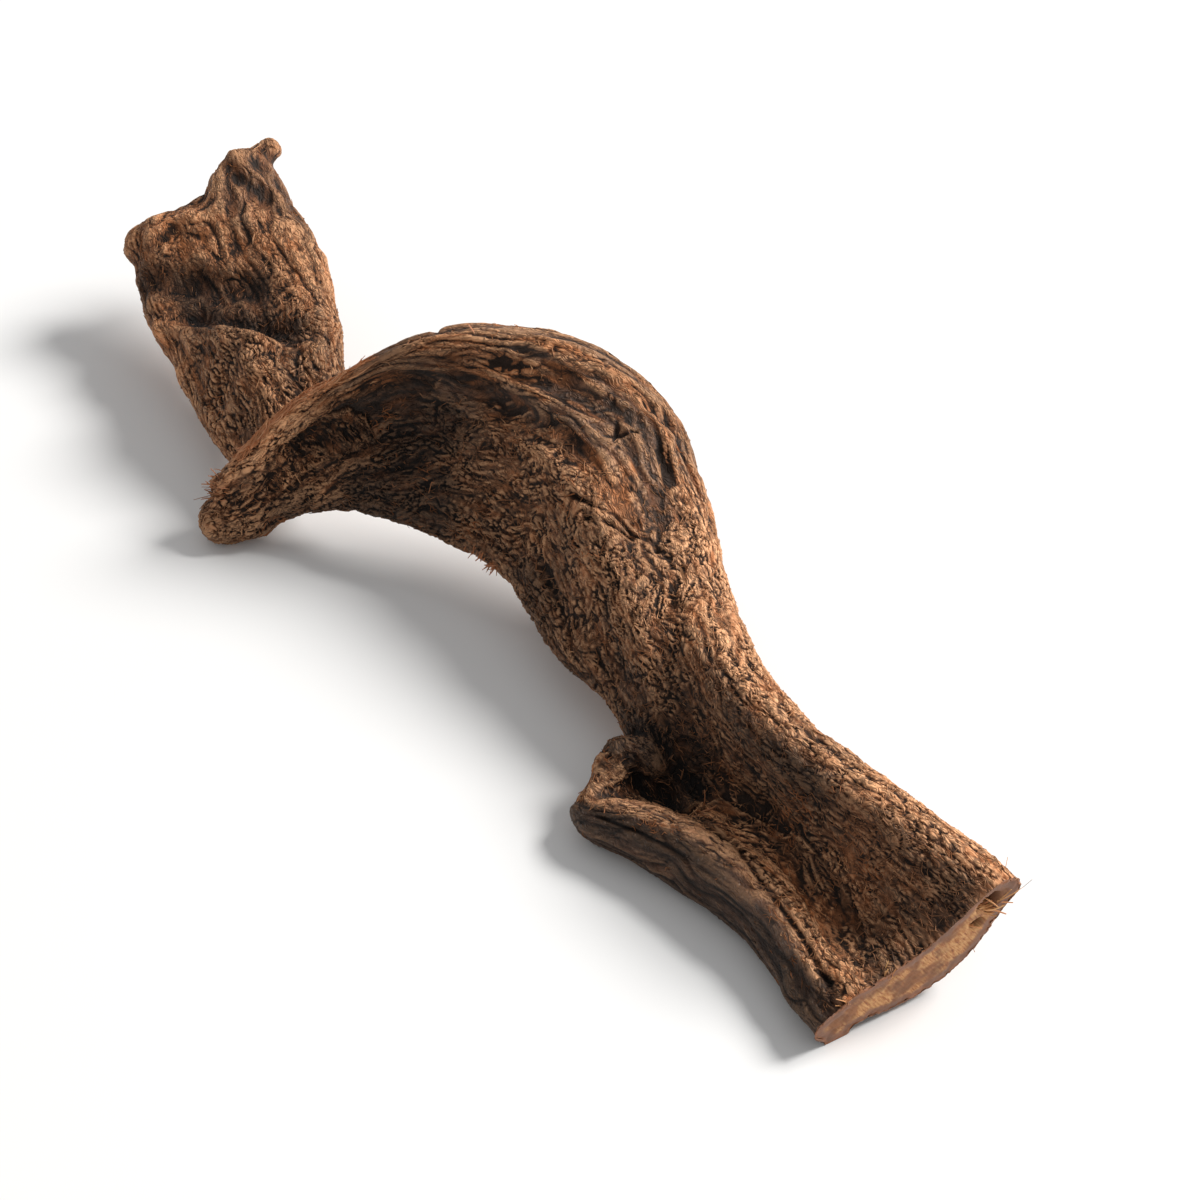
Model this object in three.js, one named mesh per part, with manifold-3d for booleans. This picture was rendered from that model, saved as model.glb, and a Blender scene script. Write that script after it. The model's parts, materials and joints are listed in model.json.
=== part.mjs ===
import * as THREE from "three";
import { mergeVertices } from "three/addons/utils/BufferGeometryUtils.js";
import Module from "manifold-3d";

// A driftwood branch: a flat bark plate that is rolled up into a trough at its sawn end,
// twists into a thick limb, rises into an arch and comes down on a foot, with a fan-shaped
// root end that leaves the arch from behind its lip. Millimetres, +Z up, +X to the sawn end.

const wasm = await Module();
wasm.setup();

// Driving sizes
const STEM_RINGS = 78;
const TAIL_RINGS = 38;
const ROLL_RINGS = 34;
const ARC_STEPS = 6; // faces round each edge of a plate section
const FRONT_STEPS = 14; // faces across its front
const BACK_STEPS = 7; // faces across its back
const CUT_POINT = new THREE.Vector3(192, -10, 10);
const CUT_NORMAL = new THREE.Vector3(0.98, -0.07, -0.17).normalize();
const REST_SINK = 0.6; // how far the low places are ground flat by lying there
const WAVE = 0.8; // height of the slow swells of the surface

// Stations of the stem from the sawn end to the foot. Each has the ridge edge and the rim edge
// of the plate, the radius of each edge, how far the front swells (or sinks, below nought),
// where across the front that is (1 is the middle, more is nearer the rim), and the back's swell.
const STEM = [
  { ridge: [211, 20, 30], rim: [205, -42, 7], round: [6, 6], front: -2, at: 1, back: 14 },
  { ridge: [196, 16, 36], rim: [191, -40, 7], round: [7, 7], front: -4, at: 1, back: 14 },
  { ridge: [174, 10, 42], rim: [171, -30, 6], round: [9, 7], front: -6, at: 1.2, back: 10 },
  { ridge: [151, 6, 45], rim: [148, -23, 5], round: [10, 6], front: -6, at: 1.2, back: 6 },
  { ridge: [127, 5, 44], rim: [125, -21, 5], round: [11, 6], front: -7, at: 1.2, back: 5 },
  { ridge: [103, 10, 42], rim: [102, -19, 6], round: [12, 7], front: -6, at: 1.3, back: 5 },
  { ridge: [82, 19, 39], rim: [80, -18, 11], round: [13, 9], front: 1, at: 1, back: 6 },
  { ridge: [64, 28, 38], rim: [63, -14, 12], round: [13, 9], front: 7, at: 1, back: 6 },
  { ridge: [46, 39, 41], rim: [45, -14, 12], round: [14, 9], front: 9, at: 1, back: 5 },
  { ridge: [29, 46, 48], rim: [28, -11, 13], round: [14, 9], front: 10, at: 0.9, back: 3 },
  { ridge: [12, 50, 57], rim: [11, -7, 14], round: [14, 9], front: 9, at: 0.8, back: 2 },
  { ridge: [-7, 47, 65], rim: [-6, -6, 14], round: [13, 9], front: 6, at: 0.7, back: 2 },
  { ridge: [-27, 35, 72], rim: [-22, -10, 14], round: [11, 9], front: 0, at: 0.7, back: 3 },
  { ridge: [-43, 16, 73], rim: [-37, -16, 14], round: [8, 9], front: -6, at: 0.8, back: 4 },
  { ridge: [-56, -2, 66], rim: [-50, -21, 13], round: [7, 8], front: -8, at: 0.8, back: 4 },
  { ridge: [-66, -18, 55], rim: [-60, -27, 11], round: [6, 8], front: -7, at: 0.9, back: 4 },
  { ridge: [-74, -31, 43], rim: [-66, -34, 8], round: [6, 7], front: -5, at: 1, back: 3 },
  { ridge: [-81, -43, 30], rim: [-69, -43, 3], round: [6, 6], front: -2, at: 1, back: 2 },
  { ridge: [-86, -52, 19], rim: [-75, -51, 1], round: [6, 6], front: 0, at: 1, back: 1 },
];

// Stations of the root end, from inside the arch to its ragged tip: here the rim is its low
// left edge and the ridge its high right edge.
const TAIL = [
  { ridge: [-62, -12, 32], rim: [-70, -34, 17], round: [7, 7], front: 1, at: 1, back: 1 },
  { ridge: [-78, -5, 35], rim: [-86, -39, 13], round: [9, 8], front: 4, at: 1, back: 2 },
  { ridge: [-93, 3, 38], rim: [-104, -38, 12], round: [10, 8], front: 6, at: 1, back: 3 },
  { ridge: [-109, 12, 40], rim: [-126, -34, 12], round: [10, 8], front: 7, at: 1, back: 4 },
  { ridge: [-126, 21, 42], rim: [-148, -29, 15], round: [9, 8], front: 7, at: 1, back: 4 },
  { ridge: [-144, 27, 44], rim: [-165, -26, 19], round: [8, 9], front: 6, at: 1.1, back: 4 },
  { ridge: [-160, 30, 47], rim: [-178, -21, 23], round: [7, 9], front: 5, at: 1, back: 3 },
  { ridge: [-174, 33, 50], rim: [-187, -16, 27], round: [6, 9], front: 4, at: 0.9, back: 2 },
  { ridge: [-187, 36, 53], rim: [-194, -12, 32], round: [5, 8], front: 3, at: 0.8, back: 1 },
];

// The rolled rim of the trough: centre line and radius, from the sawn end round the closed end.
const ROLL = [
  { centre: [207, -37, 7], radius: 7 },
  { centre: [190, -36, 8], radius: 8 },
  { centre: [170, -31, 9], radius: 9.5 },
  { centre: [148, -27, 10], radius: 10 },
  { centre: [127, -28, 10], radius: 10.5 },
  { centre: [110, -33, 10], radius: 10 },
  { centre: [99, -38, 9], radius: 8.5 },
  { centre: [91, -40, 8], radius: 7 },
  { centre: [87, -33, 11], radius: 6 },
  { centre: [84, -25, 15], radius: 6.5 },
  { centre: [89, -19, 16], radius: 6.5 },
  { centre: [97, -16, 13], radius: 5 },
];

// Lumps: centre, half sizes along X, Y and Z.
const LUMPS = [
  { name: "knob at the closed end", centre: [84, -25, 17], half: [6, 6, 6] },
  { name: "second knob", centre: [93, -19, 15], half: [6, 6, 6] },
  { name: "floor of the closed end", centre: [98, -29, 6], half: [17, 10, 7] },
  { name: "foot toe", centre: [-79, -48, 8], half: [9, 12, 9] },
  { name: "heel behind the limb", centre: [27, 42, 21], half: [11, 9, 24] },
  { name: "burl over the heel", centre: [31, 39, 31], half: [12, 7, 9] },
  { name: "left lobe of the root end", centre: [-188, -10, 31], half: [9, 9, 8] },
  { name: "peak of the root end", centre: [-184, 36, 52], half: [5, 5, 5] },
];

// A smooth value between stations: a Catmull-Rom curve through the numbers.
function between(a, b, c, d, f) {
  const bend = 2 * a - 5 * b + 4 * c - d;
  const twist = 3 * (b - c) + d - a;
  return 0.5 * (2 * b + (c - a) * f + bend * f * f + twist * f * f * f);
}

function flatten(station) {
  return Object.values(station).flat();
}

// All numbers of a row of stations at place t, from 0 to 1 along the row.
function rowAt(row, t) {
  const last = row.length - 1;
  const place = Math.min(Math.max(t, 0), 1) * last;
  const i = Math.min(Math.floor(place), last - 1);
  const near = [i - 1, i, i + 1, i + 2].map((k) => flatten(row[Math.min(Math.max(k, 0), last)]));
  return near[0].map((_, n) => between(near[0][n], near[1][n], near[2][n], near[3][n], place - i));
}

function smoothstep(low, high, x) {
  const f = Math.min(Math.max((x - low) / (high - low), 0), 1);
  return f * f * (3 - 2 * f);
}

// A plate section: the two edges are round, the faces between them swell or sink.
function plateSection(ridgeRound, rimRound, width, front, at, back) {
  const points = [];
  const ridgeX = width / 2 - ridgeRound;
  const rimX = -width / 2 + rimRound;
  const put = (x, y, u, side) => points.push({ x, y, u, side });
  for (let i = 0; i < ARC_STEPS; i++) {
    const a = -Math.PI / 2 + (Math.PI * (i + 0.5)) / ARC_STEPS;
    put(ridgeX + ridgeRound * Math.cos(a), ridgeRound * Math.sin(a), 0, Math.sin(a));
  }
  for (let i = 0; i <= FRONT_STEPS; i++) {
    const u = i / FRONT_STEPS;
    const swell = front * Math.sin(Math.PI * Math.pow(u, at)) ** 1.4;
    const y = ridgeRound + (rimRound - ridgeRound) * u + swell;
    put(ridgeX + (rimX - ridgeX) * u, y, u, 1);
  }
  for (let i = 0; i < ARC_STEPS; i++) {
    const a = Math.PI / 2 + (Math.PI * (i + 0.5)) / ARC_STEPS;
    put(rimX + rimRound * Math.cos(a), rimRound * Math.sin(a), 1, Math.sin(a));
  }
  for (let i = 0; i <= BACK_STEPS; i++) {
    const u = 1 - i / BACK_STEPS;
    const swell = back * Math.sin(Math.PI * u);
    const y = ridgeRound + (rimRound - ridgeRound) * u + swell;
    put(ridgeX + (rimX - ridgeX) * u, -y, u, -1);
  }
  return points;
}

// The rings of a plate body: sections hung between the ridge and rim edges of a row.
function plateRings(row, count, relief, pull = () => 0) {
  const rings = [];
  for (let r = 0; r <= count; r++) {
    const t = r / count;
    const v = rowAt(row, t);
    const ridge = new THREE.Vector3(v[0], v[1], v[2]);
    const rim = new THREE.Vector3(v[3], v[4], v[5]);
    const middle = ridge.clone().add(rim).multiplyScalar(0.5);
    const a = rowAt(row, t - 0.02);
    const b = rowAt(row, t + 0.02);
    const step = [0, 1, 2].map((n) => b[n] + b[n + 3] - a[n] - a[n + 3]);
    const along = new THREE.Vector3(...step);
    const across = ridge.clone().sub(rim);
    const width = across.length();
    across.normalize();
    const outward = across.clone().cross(along).normalize();
    const section = plateSection(v[6], v[7], width, v[8], v[9], v[10]);
    rings.push(
      section.map((p) => {
        const lift = relief(t, p);
        const point = middle.clone().addScaledVector(across, p.x);
        point.addScaledVector(along, -pull(t, p) / along.length());
        return point.addScaledVector(outward, p.y + Math.sign(p.y) * lift);
      }),
    );
  }
  return rings;
}

// The rings of a round roll along its centre line.
function rollRings(row, count, sides) {
  const rings = [];
  for (let r = 0; r <= count; r++) {
    const t = r / count;
    const v = rowAt(row, t);
    const a = rowAt(row, t - 0.01);
    const b = rowAt(row, t + 0.01);
    const along = new THREE.Vector3(b[0] - a[0], b[1] - a[1], b[2] - a[2]).normalize();
    const up = new THREE.Vector3(0, 0, 1);
    const side = up.clone().cross(along).normalize();
    const top = along.clone().cross(side);
    const ring = [];
    for (let k = 0; k < sides; k++) {
      const angle = (2 * Math.PI * k) / sides;
      const wave = 1 + 0.05 * Math.sin(3 * angle + 9 * t) + 0.04 * Math.sin(23 * t + angle);
      const point = new THREE.Vector3(v[0], v[1], v[2]);
      point.addScaledVector(side, v[3] * wave * Math.cos(angle));
      ring.push(point.addScaledVector(top, v[3] * wave * Math.sin(angle)));
    }
    rings.push(ring);
  }
  return rings;
}

// A closed solid from rings, with a domed or flat end on each side.
function solidFromRings(rings) {
  const sides = rings[0].length;
  const points = rings.flat();
  const centreOf = (ring) => {
    const sum = new THREE.Vector3();
    ring.forEach((p) => sum.add(p));
    return sum.multiplyScalar(1 / ring.length);
  };
  const faces = [];
  for (let r = 0; r < rings.length - 1; r++) {
    for (let k = 0; k < sides; k++) {
      const a = r * sides + k;
      const b = r * sides + ((k + 1) % sides);
      faces.push(a, b, b + sides, a, b + sides, a + sides);
    }
  }
  const firstCentre = points.push(centreOf(rings[0])) - 1;
  const lastCentre = points.push(centreOf(rings[rings.length - 1])) - 1;
  const start = (rings.length - 1) * sides;
  for (let k = 0; k < sides; k++) {
    faces.push(firstCentre, (k + 1) % sides, k);
    faces.push(lastCentre, start + k, start + ((k + 1) % sides));
  }
  return manifoldOf(points, faces);
}

function manifoldOf(points, faces) {
  const make = (triangles) =>
    new wasm.Manifold(
      new wasm.Mesh({
        numProp: 3,
        vertProperties: Float32Array.from(points.flatMap((p) => p.toArray())),
        triVerts: Uint32Array.from(triangles),
      }),
    );
  const solid = make(faces);
  if (solid.volume() > 0) return solid;
  const turned = [];
  for (let i = 0; i < faces.length; i += 3) turned.push(faces[i], faces[i + 2], faces[i + 1]);
  return make(turned);
}

function manifoldOfGeometry(geometry) {
  const bare = geometry.clone();
  bare.deleteAttribute("normal");
  bare.deleteAttribute("uv");
  const merged = mergeVertices(bare, 1e-4);
  const at = merged.getAttribute("position");
  const points = [];
  for (let i = 0; i < at.count; i++) points.push(new THREE.Vector3().fromBufferAttribute(at, i));
  return manifoldOf(points, Array.from(merged.index.array));
}

function lump({ centre, half }) {
  const ball = new THREE.IcosahedronGeometry(1, 2);
  ball.scale(...half);
  ball.translate(...centre);
  return manifoldOfGeometry(ball);
}

// Slow swells of the bark, the same wherever it is asked.
function swell(t, p) {
  const round = p.u * 3 + (p.side < 0 ? 2 : 0);
  return WAVE * (Math.sin(61 * t + 2 * round) * 0.6 + Math.sin(37 * t - 3.1 * round + 1) * 0.4);
}

// The crest over the arch carries long ridges that follow its edge.
function stemRelief(t, p) {
  const crest = smoothstep(0.48, 0.56, t) * (1 - smoothstep(0.74, 0.8, t));
  const nearRidge = 1 - smoothstep(0.1, 0.5, p.u);
  const ridges = p.side > 0 ? Math.sin(26 * p.u + 14 * t) * 1.2 * crest * nearRidge : 0;
  return swell(t, p) + ridges;
}

// The root end has one fold across it, a hollow past the fold, and pleats at its tip.
function tailRelief(t, p) {
  const thinTip = smoothstep(0.93, 1, t) * 2.5;
  if (p.side <= 0) return swell(t, p) - thinTip;
  const across = Math.sin(Math.PI * Math.min(Math.max(p.u, 0.02), 0.98));
  const foldAt = 0.23 + 0.3 * p.u;
  const rise = smoothstep(foldAt - 0.25, foldAt - 0.01, t) * 4;
  const drop = smoothstep(foldAt, foldAt + 0.05, t) * 10;
  const recover = smoothstep(foldAt + 0.08, 0.95, t) * 5;
  const pleats = smoothstep(0.7, 1, t) * Math.sin(22 * p.u) * 1.6;
  return swell(t, p) + across * (rise - drop + recover) + pleats - thinTip;
}

// The tip is drawn back between its left lobe and its right peak.
function tipNotch(t, p) {
  const middleOfTip = Math.exp(-(((p.u - 0.55) / 0.22) ** 2));
  return smoothstep(0.8, 1, t) * (9 * middleOfTip + 1.5 * Math.sin(22 * p.u));
}

function box(width, depth, height, centre, normal) {
  const block = new THREE.BoxGeometry(width, depth, height);
  const turn = new THREE.Quaternion();
  if (normal) turn.setFromUnitVectors(new THREE.Vector3(1, 0, 0), normal);
  block.applyQuaternion(turn);
  block.translate(centre.x, centre.y, centre.z);
  return manifoldOfGeometry(block);
}

function sawnAndRested(body) {
  const reach = 80;
  const sawCentre = CUT_POINT.clone().addScaledVector(CUT_NORMAL, reach / 2);
  const saw = box(reach, 300, 300, sawCentre, CUT_NORMAL);
  const floor = box(800, 400, reach, new THREE.Vector3(0, 0, REST_SINK - reach / 2));
  return body.subtract(saw).subtract(floor);
}

function branchBody() {
  let body = solidFromRings(plateRings(STEM, STEM_RINGS, stemRelief));
  body = body.add(solidFromRings(plateRings(TAIL, TAIL_RINGS, tailRelief, tipNotch)));
  body = body.add(solidFromRings(rollRings(ROLL, ROLL_RINGS, 16)));
  for (const one of LUMPS) body = body.add(lump(one));
  return sawnAndRested(body);
}

function geometryOf(solid) {
  const mesh = solid.getMesh();
  const geometry = new THREE.BufferGeometry();
  const places = Float32Array.from(mesh.vertProperties);
  geometry.setAttribute("position", new THREE.BufferAttribute(places, 3));
  geometry.setIndex(new THREE.BufferAttribute(Uint32Array.from(mesh.triVerts), 1));
  return geometry;
}

const geometry = geometryOf(branchBody());
geometry.computeBoundingBox();
const box3 = geometry.boundingBox;
const middle = box3.getCenter(new THREE.Vector3());
geometry.translate(-middle.x, -middle.y, -box3.min.z);
geometry.computeVertexNormals();

const bark = new THREE.MeshStandardMaterial({ color: 0x5f4433, roughness: 0.85, metalness: 0 });
const branch = new THREE.Mesh(geometry, bark);
branch.name = "driftwood_branch";

const group = new THREE.Group();
group.add(branch);

export default group;
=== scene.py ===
import json
import math

import bmesh
import bpy
import numpy as np
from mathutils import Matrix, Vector
from mathutils.kdtree import KDTree

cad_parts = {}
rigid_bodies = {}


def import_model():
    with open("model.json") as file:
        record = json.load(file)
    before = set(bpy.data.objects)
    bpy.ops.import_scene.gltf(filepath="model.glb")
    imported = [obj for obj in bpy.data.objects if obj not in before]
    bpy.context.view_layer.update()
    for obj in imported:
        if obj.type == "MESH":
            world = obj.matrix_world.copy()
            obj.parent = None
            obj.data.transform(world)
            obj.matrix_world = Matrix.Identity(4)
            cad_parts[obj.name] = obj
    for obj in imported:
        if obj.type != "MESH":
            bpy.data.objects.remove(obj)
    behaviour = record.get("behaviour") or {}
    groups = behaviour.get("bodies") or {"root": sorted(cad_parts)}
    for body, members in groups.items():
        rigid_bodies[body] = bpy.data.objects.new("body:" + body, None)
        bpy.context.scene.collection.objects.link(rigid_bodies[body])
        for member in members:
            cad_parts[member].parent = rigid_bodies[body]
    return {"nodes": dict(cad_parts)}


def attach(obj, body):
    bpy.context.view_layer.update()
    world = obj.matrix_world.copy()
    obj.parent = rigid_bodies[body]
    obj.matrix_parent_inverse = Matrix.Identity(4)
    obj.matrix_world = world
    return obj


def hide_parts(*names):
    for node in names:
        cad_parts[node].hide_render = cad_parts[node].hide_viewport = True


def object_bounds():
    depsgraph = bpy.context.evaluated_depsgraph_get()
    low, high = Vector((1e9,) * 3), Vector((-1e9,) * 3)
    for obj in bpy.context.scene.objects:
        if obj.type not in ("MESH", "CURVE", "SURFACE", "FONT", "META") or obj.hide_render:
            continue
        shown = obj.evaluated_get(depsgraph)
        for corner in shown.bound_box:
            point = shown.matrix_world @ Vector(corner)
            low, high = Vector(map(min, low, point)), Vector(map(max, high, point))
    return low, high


bl_info = {
    "name": "Driftwood branch",
    "version": (1, 0, 0),
    "blender": (4, 5, 0),
    "location": "View3D > Sidebar > Driftwood",
    "description": "Gives a driftwood branch its bark, its felt of fibres, its sawn face and a pale stage",
    "category": "Object",
}

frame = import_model()
CAD_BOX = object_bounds()
BODY = "root"
NODE = "driftwood_branch"
MM = 0.001

# The plate that the stem is made of, as the solid has it, in millimetres: the ridge edge and
# the rim edge from the sawn end to the foot, and the radius of each edge. The solid's own
# stations are off the middle of its box by this much.
OFF_MIDDLE = np.array([0.9, -3.4, 0.0])
STEM = [
    ((211, 20, 30), (205, -42, 7), 6, 6),
    ((196, 16, 36), (191, -40, 7), 7, 7),
    ((174, 10, 42), (171, -30, 6), 9, 7),
    ((151, 6, 45), (148, -23, 5), 10, 6),
    ((127, 5, 44), (125, -21, 5), 11, 6),
    ((103, 10, 42), (102, -19, 6), 12, 7),
    ((82, 19, 39), (80, -18, 11), 13, 9),
    ((64, 28, 38), (63, -14, 12), 13, 9),
    ((46, 39, 41), (45, -14, 12), 14, 9),
    ((29, 46, 48), (28, -11, 13), 14, 9),
    ((12, 50, 57), (11, -7, 14), 14, 9),
    ((-7, 47, 65), (-6, -6, 14), 13, 9),
    ((-27, 35, 72), (-22, -10, 14), 11, 9),
    ((-43, 16, 73), (-37, -16, 14), 8, 9),
    ((-56, -2, 66), (-50, -21, 13), 7, 8),
    ((-66, -18, 55), (-60, -27, 11), 6, 8),
    ((-74, -31, 43), (-66, -34, 8), 6, 7),
    ((-81, -43, 30), (-69, -43, 3), 6, 6),
    ((-86, -52, 19), (-75, -51, 1), 6, 6),
]
TAIL = [
    ((-62, -12, 32), (-70, -34, 17), 7, 7),
    ((-78, -5, 35), (-86, -39, 13), 9, 8),
    ((-93, 3, 38), (-104, -38, 12), 10, 8),
    ((-109, 12, 40), (-126, -34, 12), 10, 8),
    ((-126, 21, 42), (-148, -29, 15), 9, 8),
    ((-144, 27, 44), (-165, -26, 19), 8, 9),
    ((-160, 30, 47), (-178, -21, 23), 7, 9),
    ((-174, 33, 50), (-187, -16, 27), 6, 9),
    ((-187, 36, 53), (-194, -12, 32), 5, 8),
]
# The rolled rim of the trough: the two sides of the roll, and its radius twice.
ROLL = [
    ((207, -30, 7), (207, -44, 7), 7, 7),
    ((190, -28, 8), (190, -44, 8), 8, 8),
    ((170, -21, 9), (170, -41, 9), 9, 9),
    ((148, -17, 10), (148, -37, 10), 10, 10),
    ((127, -18, 10), (127, -38, 10), 10, 10),
    ((110, -23, 10), (110, -43, 10), 10, 10),
    ((99, -30, 9), (99, -46, 9), 8, 8),
    ((91, -33, 8), (91, -47, 8), 7, 7),
]
# The saw cut, and how far the copy reaches past it before it is cut again, in millimetres.
CUT_POINT = np.array([192.11, -10.0, 10.0]) - OFF_MIDDLE
CUT_NORMAL = np.array([0.98, -0.07, -0.17]) / np.linalg.norm([0.98, -0.07, -0.17])
PAST_CUT = 1.6
# What lies lower than this, in millimetres, rests on the floor and keeps its place.
RESTING_BELOW = 0.35
# The form is smoothed and carved on faces of this size in millimetres, larger than the bark's.
FIRST_VOXEL = 1.0
# Rounds of averaging that give a point's near and far surroundings, and what counts as standing
# well out of each.
NEAR_ROUNDS = 4
FAR_ROUNDS = 50
FINE_HEIGHT = 0.12
BROAD_HEIGHT = 0.7
# The materials read the place along the grain in centimetres.
GRAIN_SCALE = 0.1


class BarkSizes(bpy.types.PropertyGroup):
    voxel: bpy.props.FloatProperty(
        name="Mesh size", description="Edge of the faces that the bark is made of",
        default=0.53 * MM, unit="LENGTH",
    )
    wrinkle: bpy.props.FloatProperty(
        name="Wrinkles", description="Depth of the folds along the grain",
        default=1.5 * MM, unit="LENGTH",
    )
    flake: bpy.props.FloatProperty(
        name="Chips", description="Depth of the slits between the small chips of bark",
        default=0.7 * MM, unit="LENGTH",
    )
    crack: bpy.props.FloatProperty(
        name="Cracks", description="Depth of the few long cracks",
        default=1.8 * MM, unit="LENGTH",
    )


class FibreSizes(bpy.types.PropertyGroup):
    count: bpy.props.IntProperty(
        name="Fibres", description="Short fibres tried on each length of the branch", default=7200,
    )
    length: bpy.props.FloatProperty(
        name="Length", description="Mean length of a fibre", default=2.9 * MM, unit="LENGTH",
    )
    thickness: bpy.props.FloatProperty(
        name="Thickness", description="Mean thickness of a fibre", default=0.33 * MM, unit="LENGTH",
    )


class BranchColours(bpy.types.PropertyGroup):
    # The slits' colour is partly their dark inside and partly painted shade.
    dark: bpy.props.FloatVectorProperty(
        name="Slits", description="Colour deep in the slits", size=3, subtype="COLOR",
        default=(0.018, 0.0088, 0.005),
    )
    middle: bpy.props.FloatVectorProperty(
        name="Bark", description="Colour of most of the bark", size=3, subtype="COLOR",
        default=(0.235, 0.104, 0.048),
    )
    # Also the colour of the bark where it stands out, which there is partly painted light.
    pale: bpy.props.FloatVectorProperty(
        name="Fibre tips", description="Colour of the raised fibres", size=3, subtype="COLOR",
        default=(0.580, 0.300, 0.150),
    )
    orange: bpy.props.FloatVectorProperty(
        name="Torn wood", description="Colour of torn and rubbed edges", size=3, subtype="COLOR",
        default=(0.420, 0.145, 0.048),
    )
    grey: bpy.props.FloatVectorProperty(
        name="Smooth bark", description="Colour of the smooth bark on the rim", size=3,
        subtype="COLOR", default=(0.110, 0.076, 0.060),
    )
    straw: bpy.props.FloatVectorProperty(
        name="Straw", description="Colour of the fibres in the sawn face", size=3,
        subtype="COLOR", default=(0.720, 0.400, 0.165),
    )
    sawn: bpy.props.FloatVectorProperty(
        name="Sawn wood", description="Colour of the sawn face", size=3, subtype="COLOR",
        default=(0.180, 0.078, 0.040),
    )


class StageSizes(bpy.types.PropertyGroup):
    key_power: bpy.props.FloatProperty(
        name="Key light", description="Power of the large soft light", default=165.0, unit="POWER",
    )
    sky: bpy.props.FloatProperty(
        name="Sky", description="Strength of the even light from all round", default=0.44,
    )


def smoothstep(low, high, x):
    f = np.clip((x - low) / (high - low), 0, 1)
    return f * f * (3 - 2 * f)


# Repeatable noise. Each takes points in units of the feature's size.
def hashed(ix, iy, iz, seed):
    x = ix.astype(np.uint64) * np.uint64(73856093)
    y = iy.astype(np.uint64) * np.uint64(19349663)
    z = iz.astype(np.uint64) * np.uint64(83492791)
    h = (x ^ y ^ z ^ np.uint64(seed * 2654435761 % 2**32)) & np.uint64(0xFFFFFFFF)
    h = ((h ^ (h >> np.uint64(15))) * np.uint64(2246822519)) & np.uint64(0xFFFFFFFF)
    h = ((h ^ (h >> np.uint64(13))) * np.uint64(3266489917)) & np.uint64(0xFFFFFFFF)
    return (h ^ (h >> np.uint64(16))).astype(float) / 2.0**32


def noise(p, seed=0):
    cell = np.floor(p).astype(np.int64)
    f = p - cell
    f = f * f * (3 - 2 * f)
    total = np.zeros(len(p))
    for dx in (0, 1):
        for dy in (0, 1):
            for dz in (0, 1):
                weight = np.abs(1 - dx - f[:, 0]) * np.abs(1 - dy - f[:, 1]) * np.abs(1 - dz - f[:, 2])
                total += weight * hashed(cell[:, 0] + dx, cell[:, 1] + dy, cell[:, 2] + dz, seed)
    return total * 2 - 1


def fractal(p, seed=0, octaves=3):
    total = np.zeros(len(p))
    for k in range(octaves):
        total += noise(p * 2.1**k + 7.3 * k, seed + k) * 0.55**k
    return total


def flakes(p, seed=0):
    """How far each point is from its flake's middle, the gap to the next flake, and its number."""
    cell = np.floor(p).astype(np.int64)
    first = np.full(len(p), 9.0)
    second = np.full(len(p), 9.0)
    owner = np.zeros(len(p))
    for dx in (-1, 0, 1):
        for dy in (-1, 0, 1):
            for dz in (-1, 0, 1):
                c = cell + (dx, dy, dz)
                jitter = [hashed(c[:, 0], c[:, 1], c[:, 2], seed + n) for n in range(3)]
                d = np.linalg.norm(c + np.stack(jitter, -1) - p, axis=1)
                nearer = d < first
                second = np.where(nearer, first, np.minimum(second, d))
                owner = np.where(nearer, hashed(c[:, 0], c[:, 1], c[:, 2], seed + 9), owner)
                first = np.where(nearer, d, first)
    return first, second - first, owner


def past_cut(points):
    """How far each point stands out past the plane of the saw cut, in millimetres."""
    return (points - CUT_POINT) @ CUT_NORMAL


def near(points, place, radius):
    """1 at the place, falling off to nothing at about twice the radius. Millimetres."""
    return np.exp(-np.sum((points - np.array(place, float)) ** 2, axis=1) / radius**2)


def near_line(points, line, radius):
    """The same for a line through several places."""
    best = np.full(len(points), 1e9)
    for a, b in zip(line, line[1:]):
        a, b = np.array(a, float), np.array(b, float)
        f = np.clip((points - a) @ (b - a) / np.sum((b - a) ** 2), 0, 1)
        best = np.minimum(best, np.sum((points - a - f[:, None] * (b - a)) ** 2, axis=1))
    return np.exp(-best / radius**2)


# Guides: where a point of the bark is along its plate, across it and out from it.
def between(rows, place):
    i = int(min(max(math.floor(place), 0), len(rows) - 2))
    f = place - i
    a, b, c, d = (rows[min(max(k, 0), len(rows) - 1)] for k in (i - 1, i, i + 1, i + 2))
    bend = 2 * a - 5 * b + 4 * c - d
    twist = 3 * (b - c) + d - a
    return 0.5 * (2 * b + (c - a) * f + bend * f * f + twist * f**3)


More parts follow.
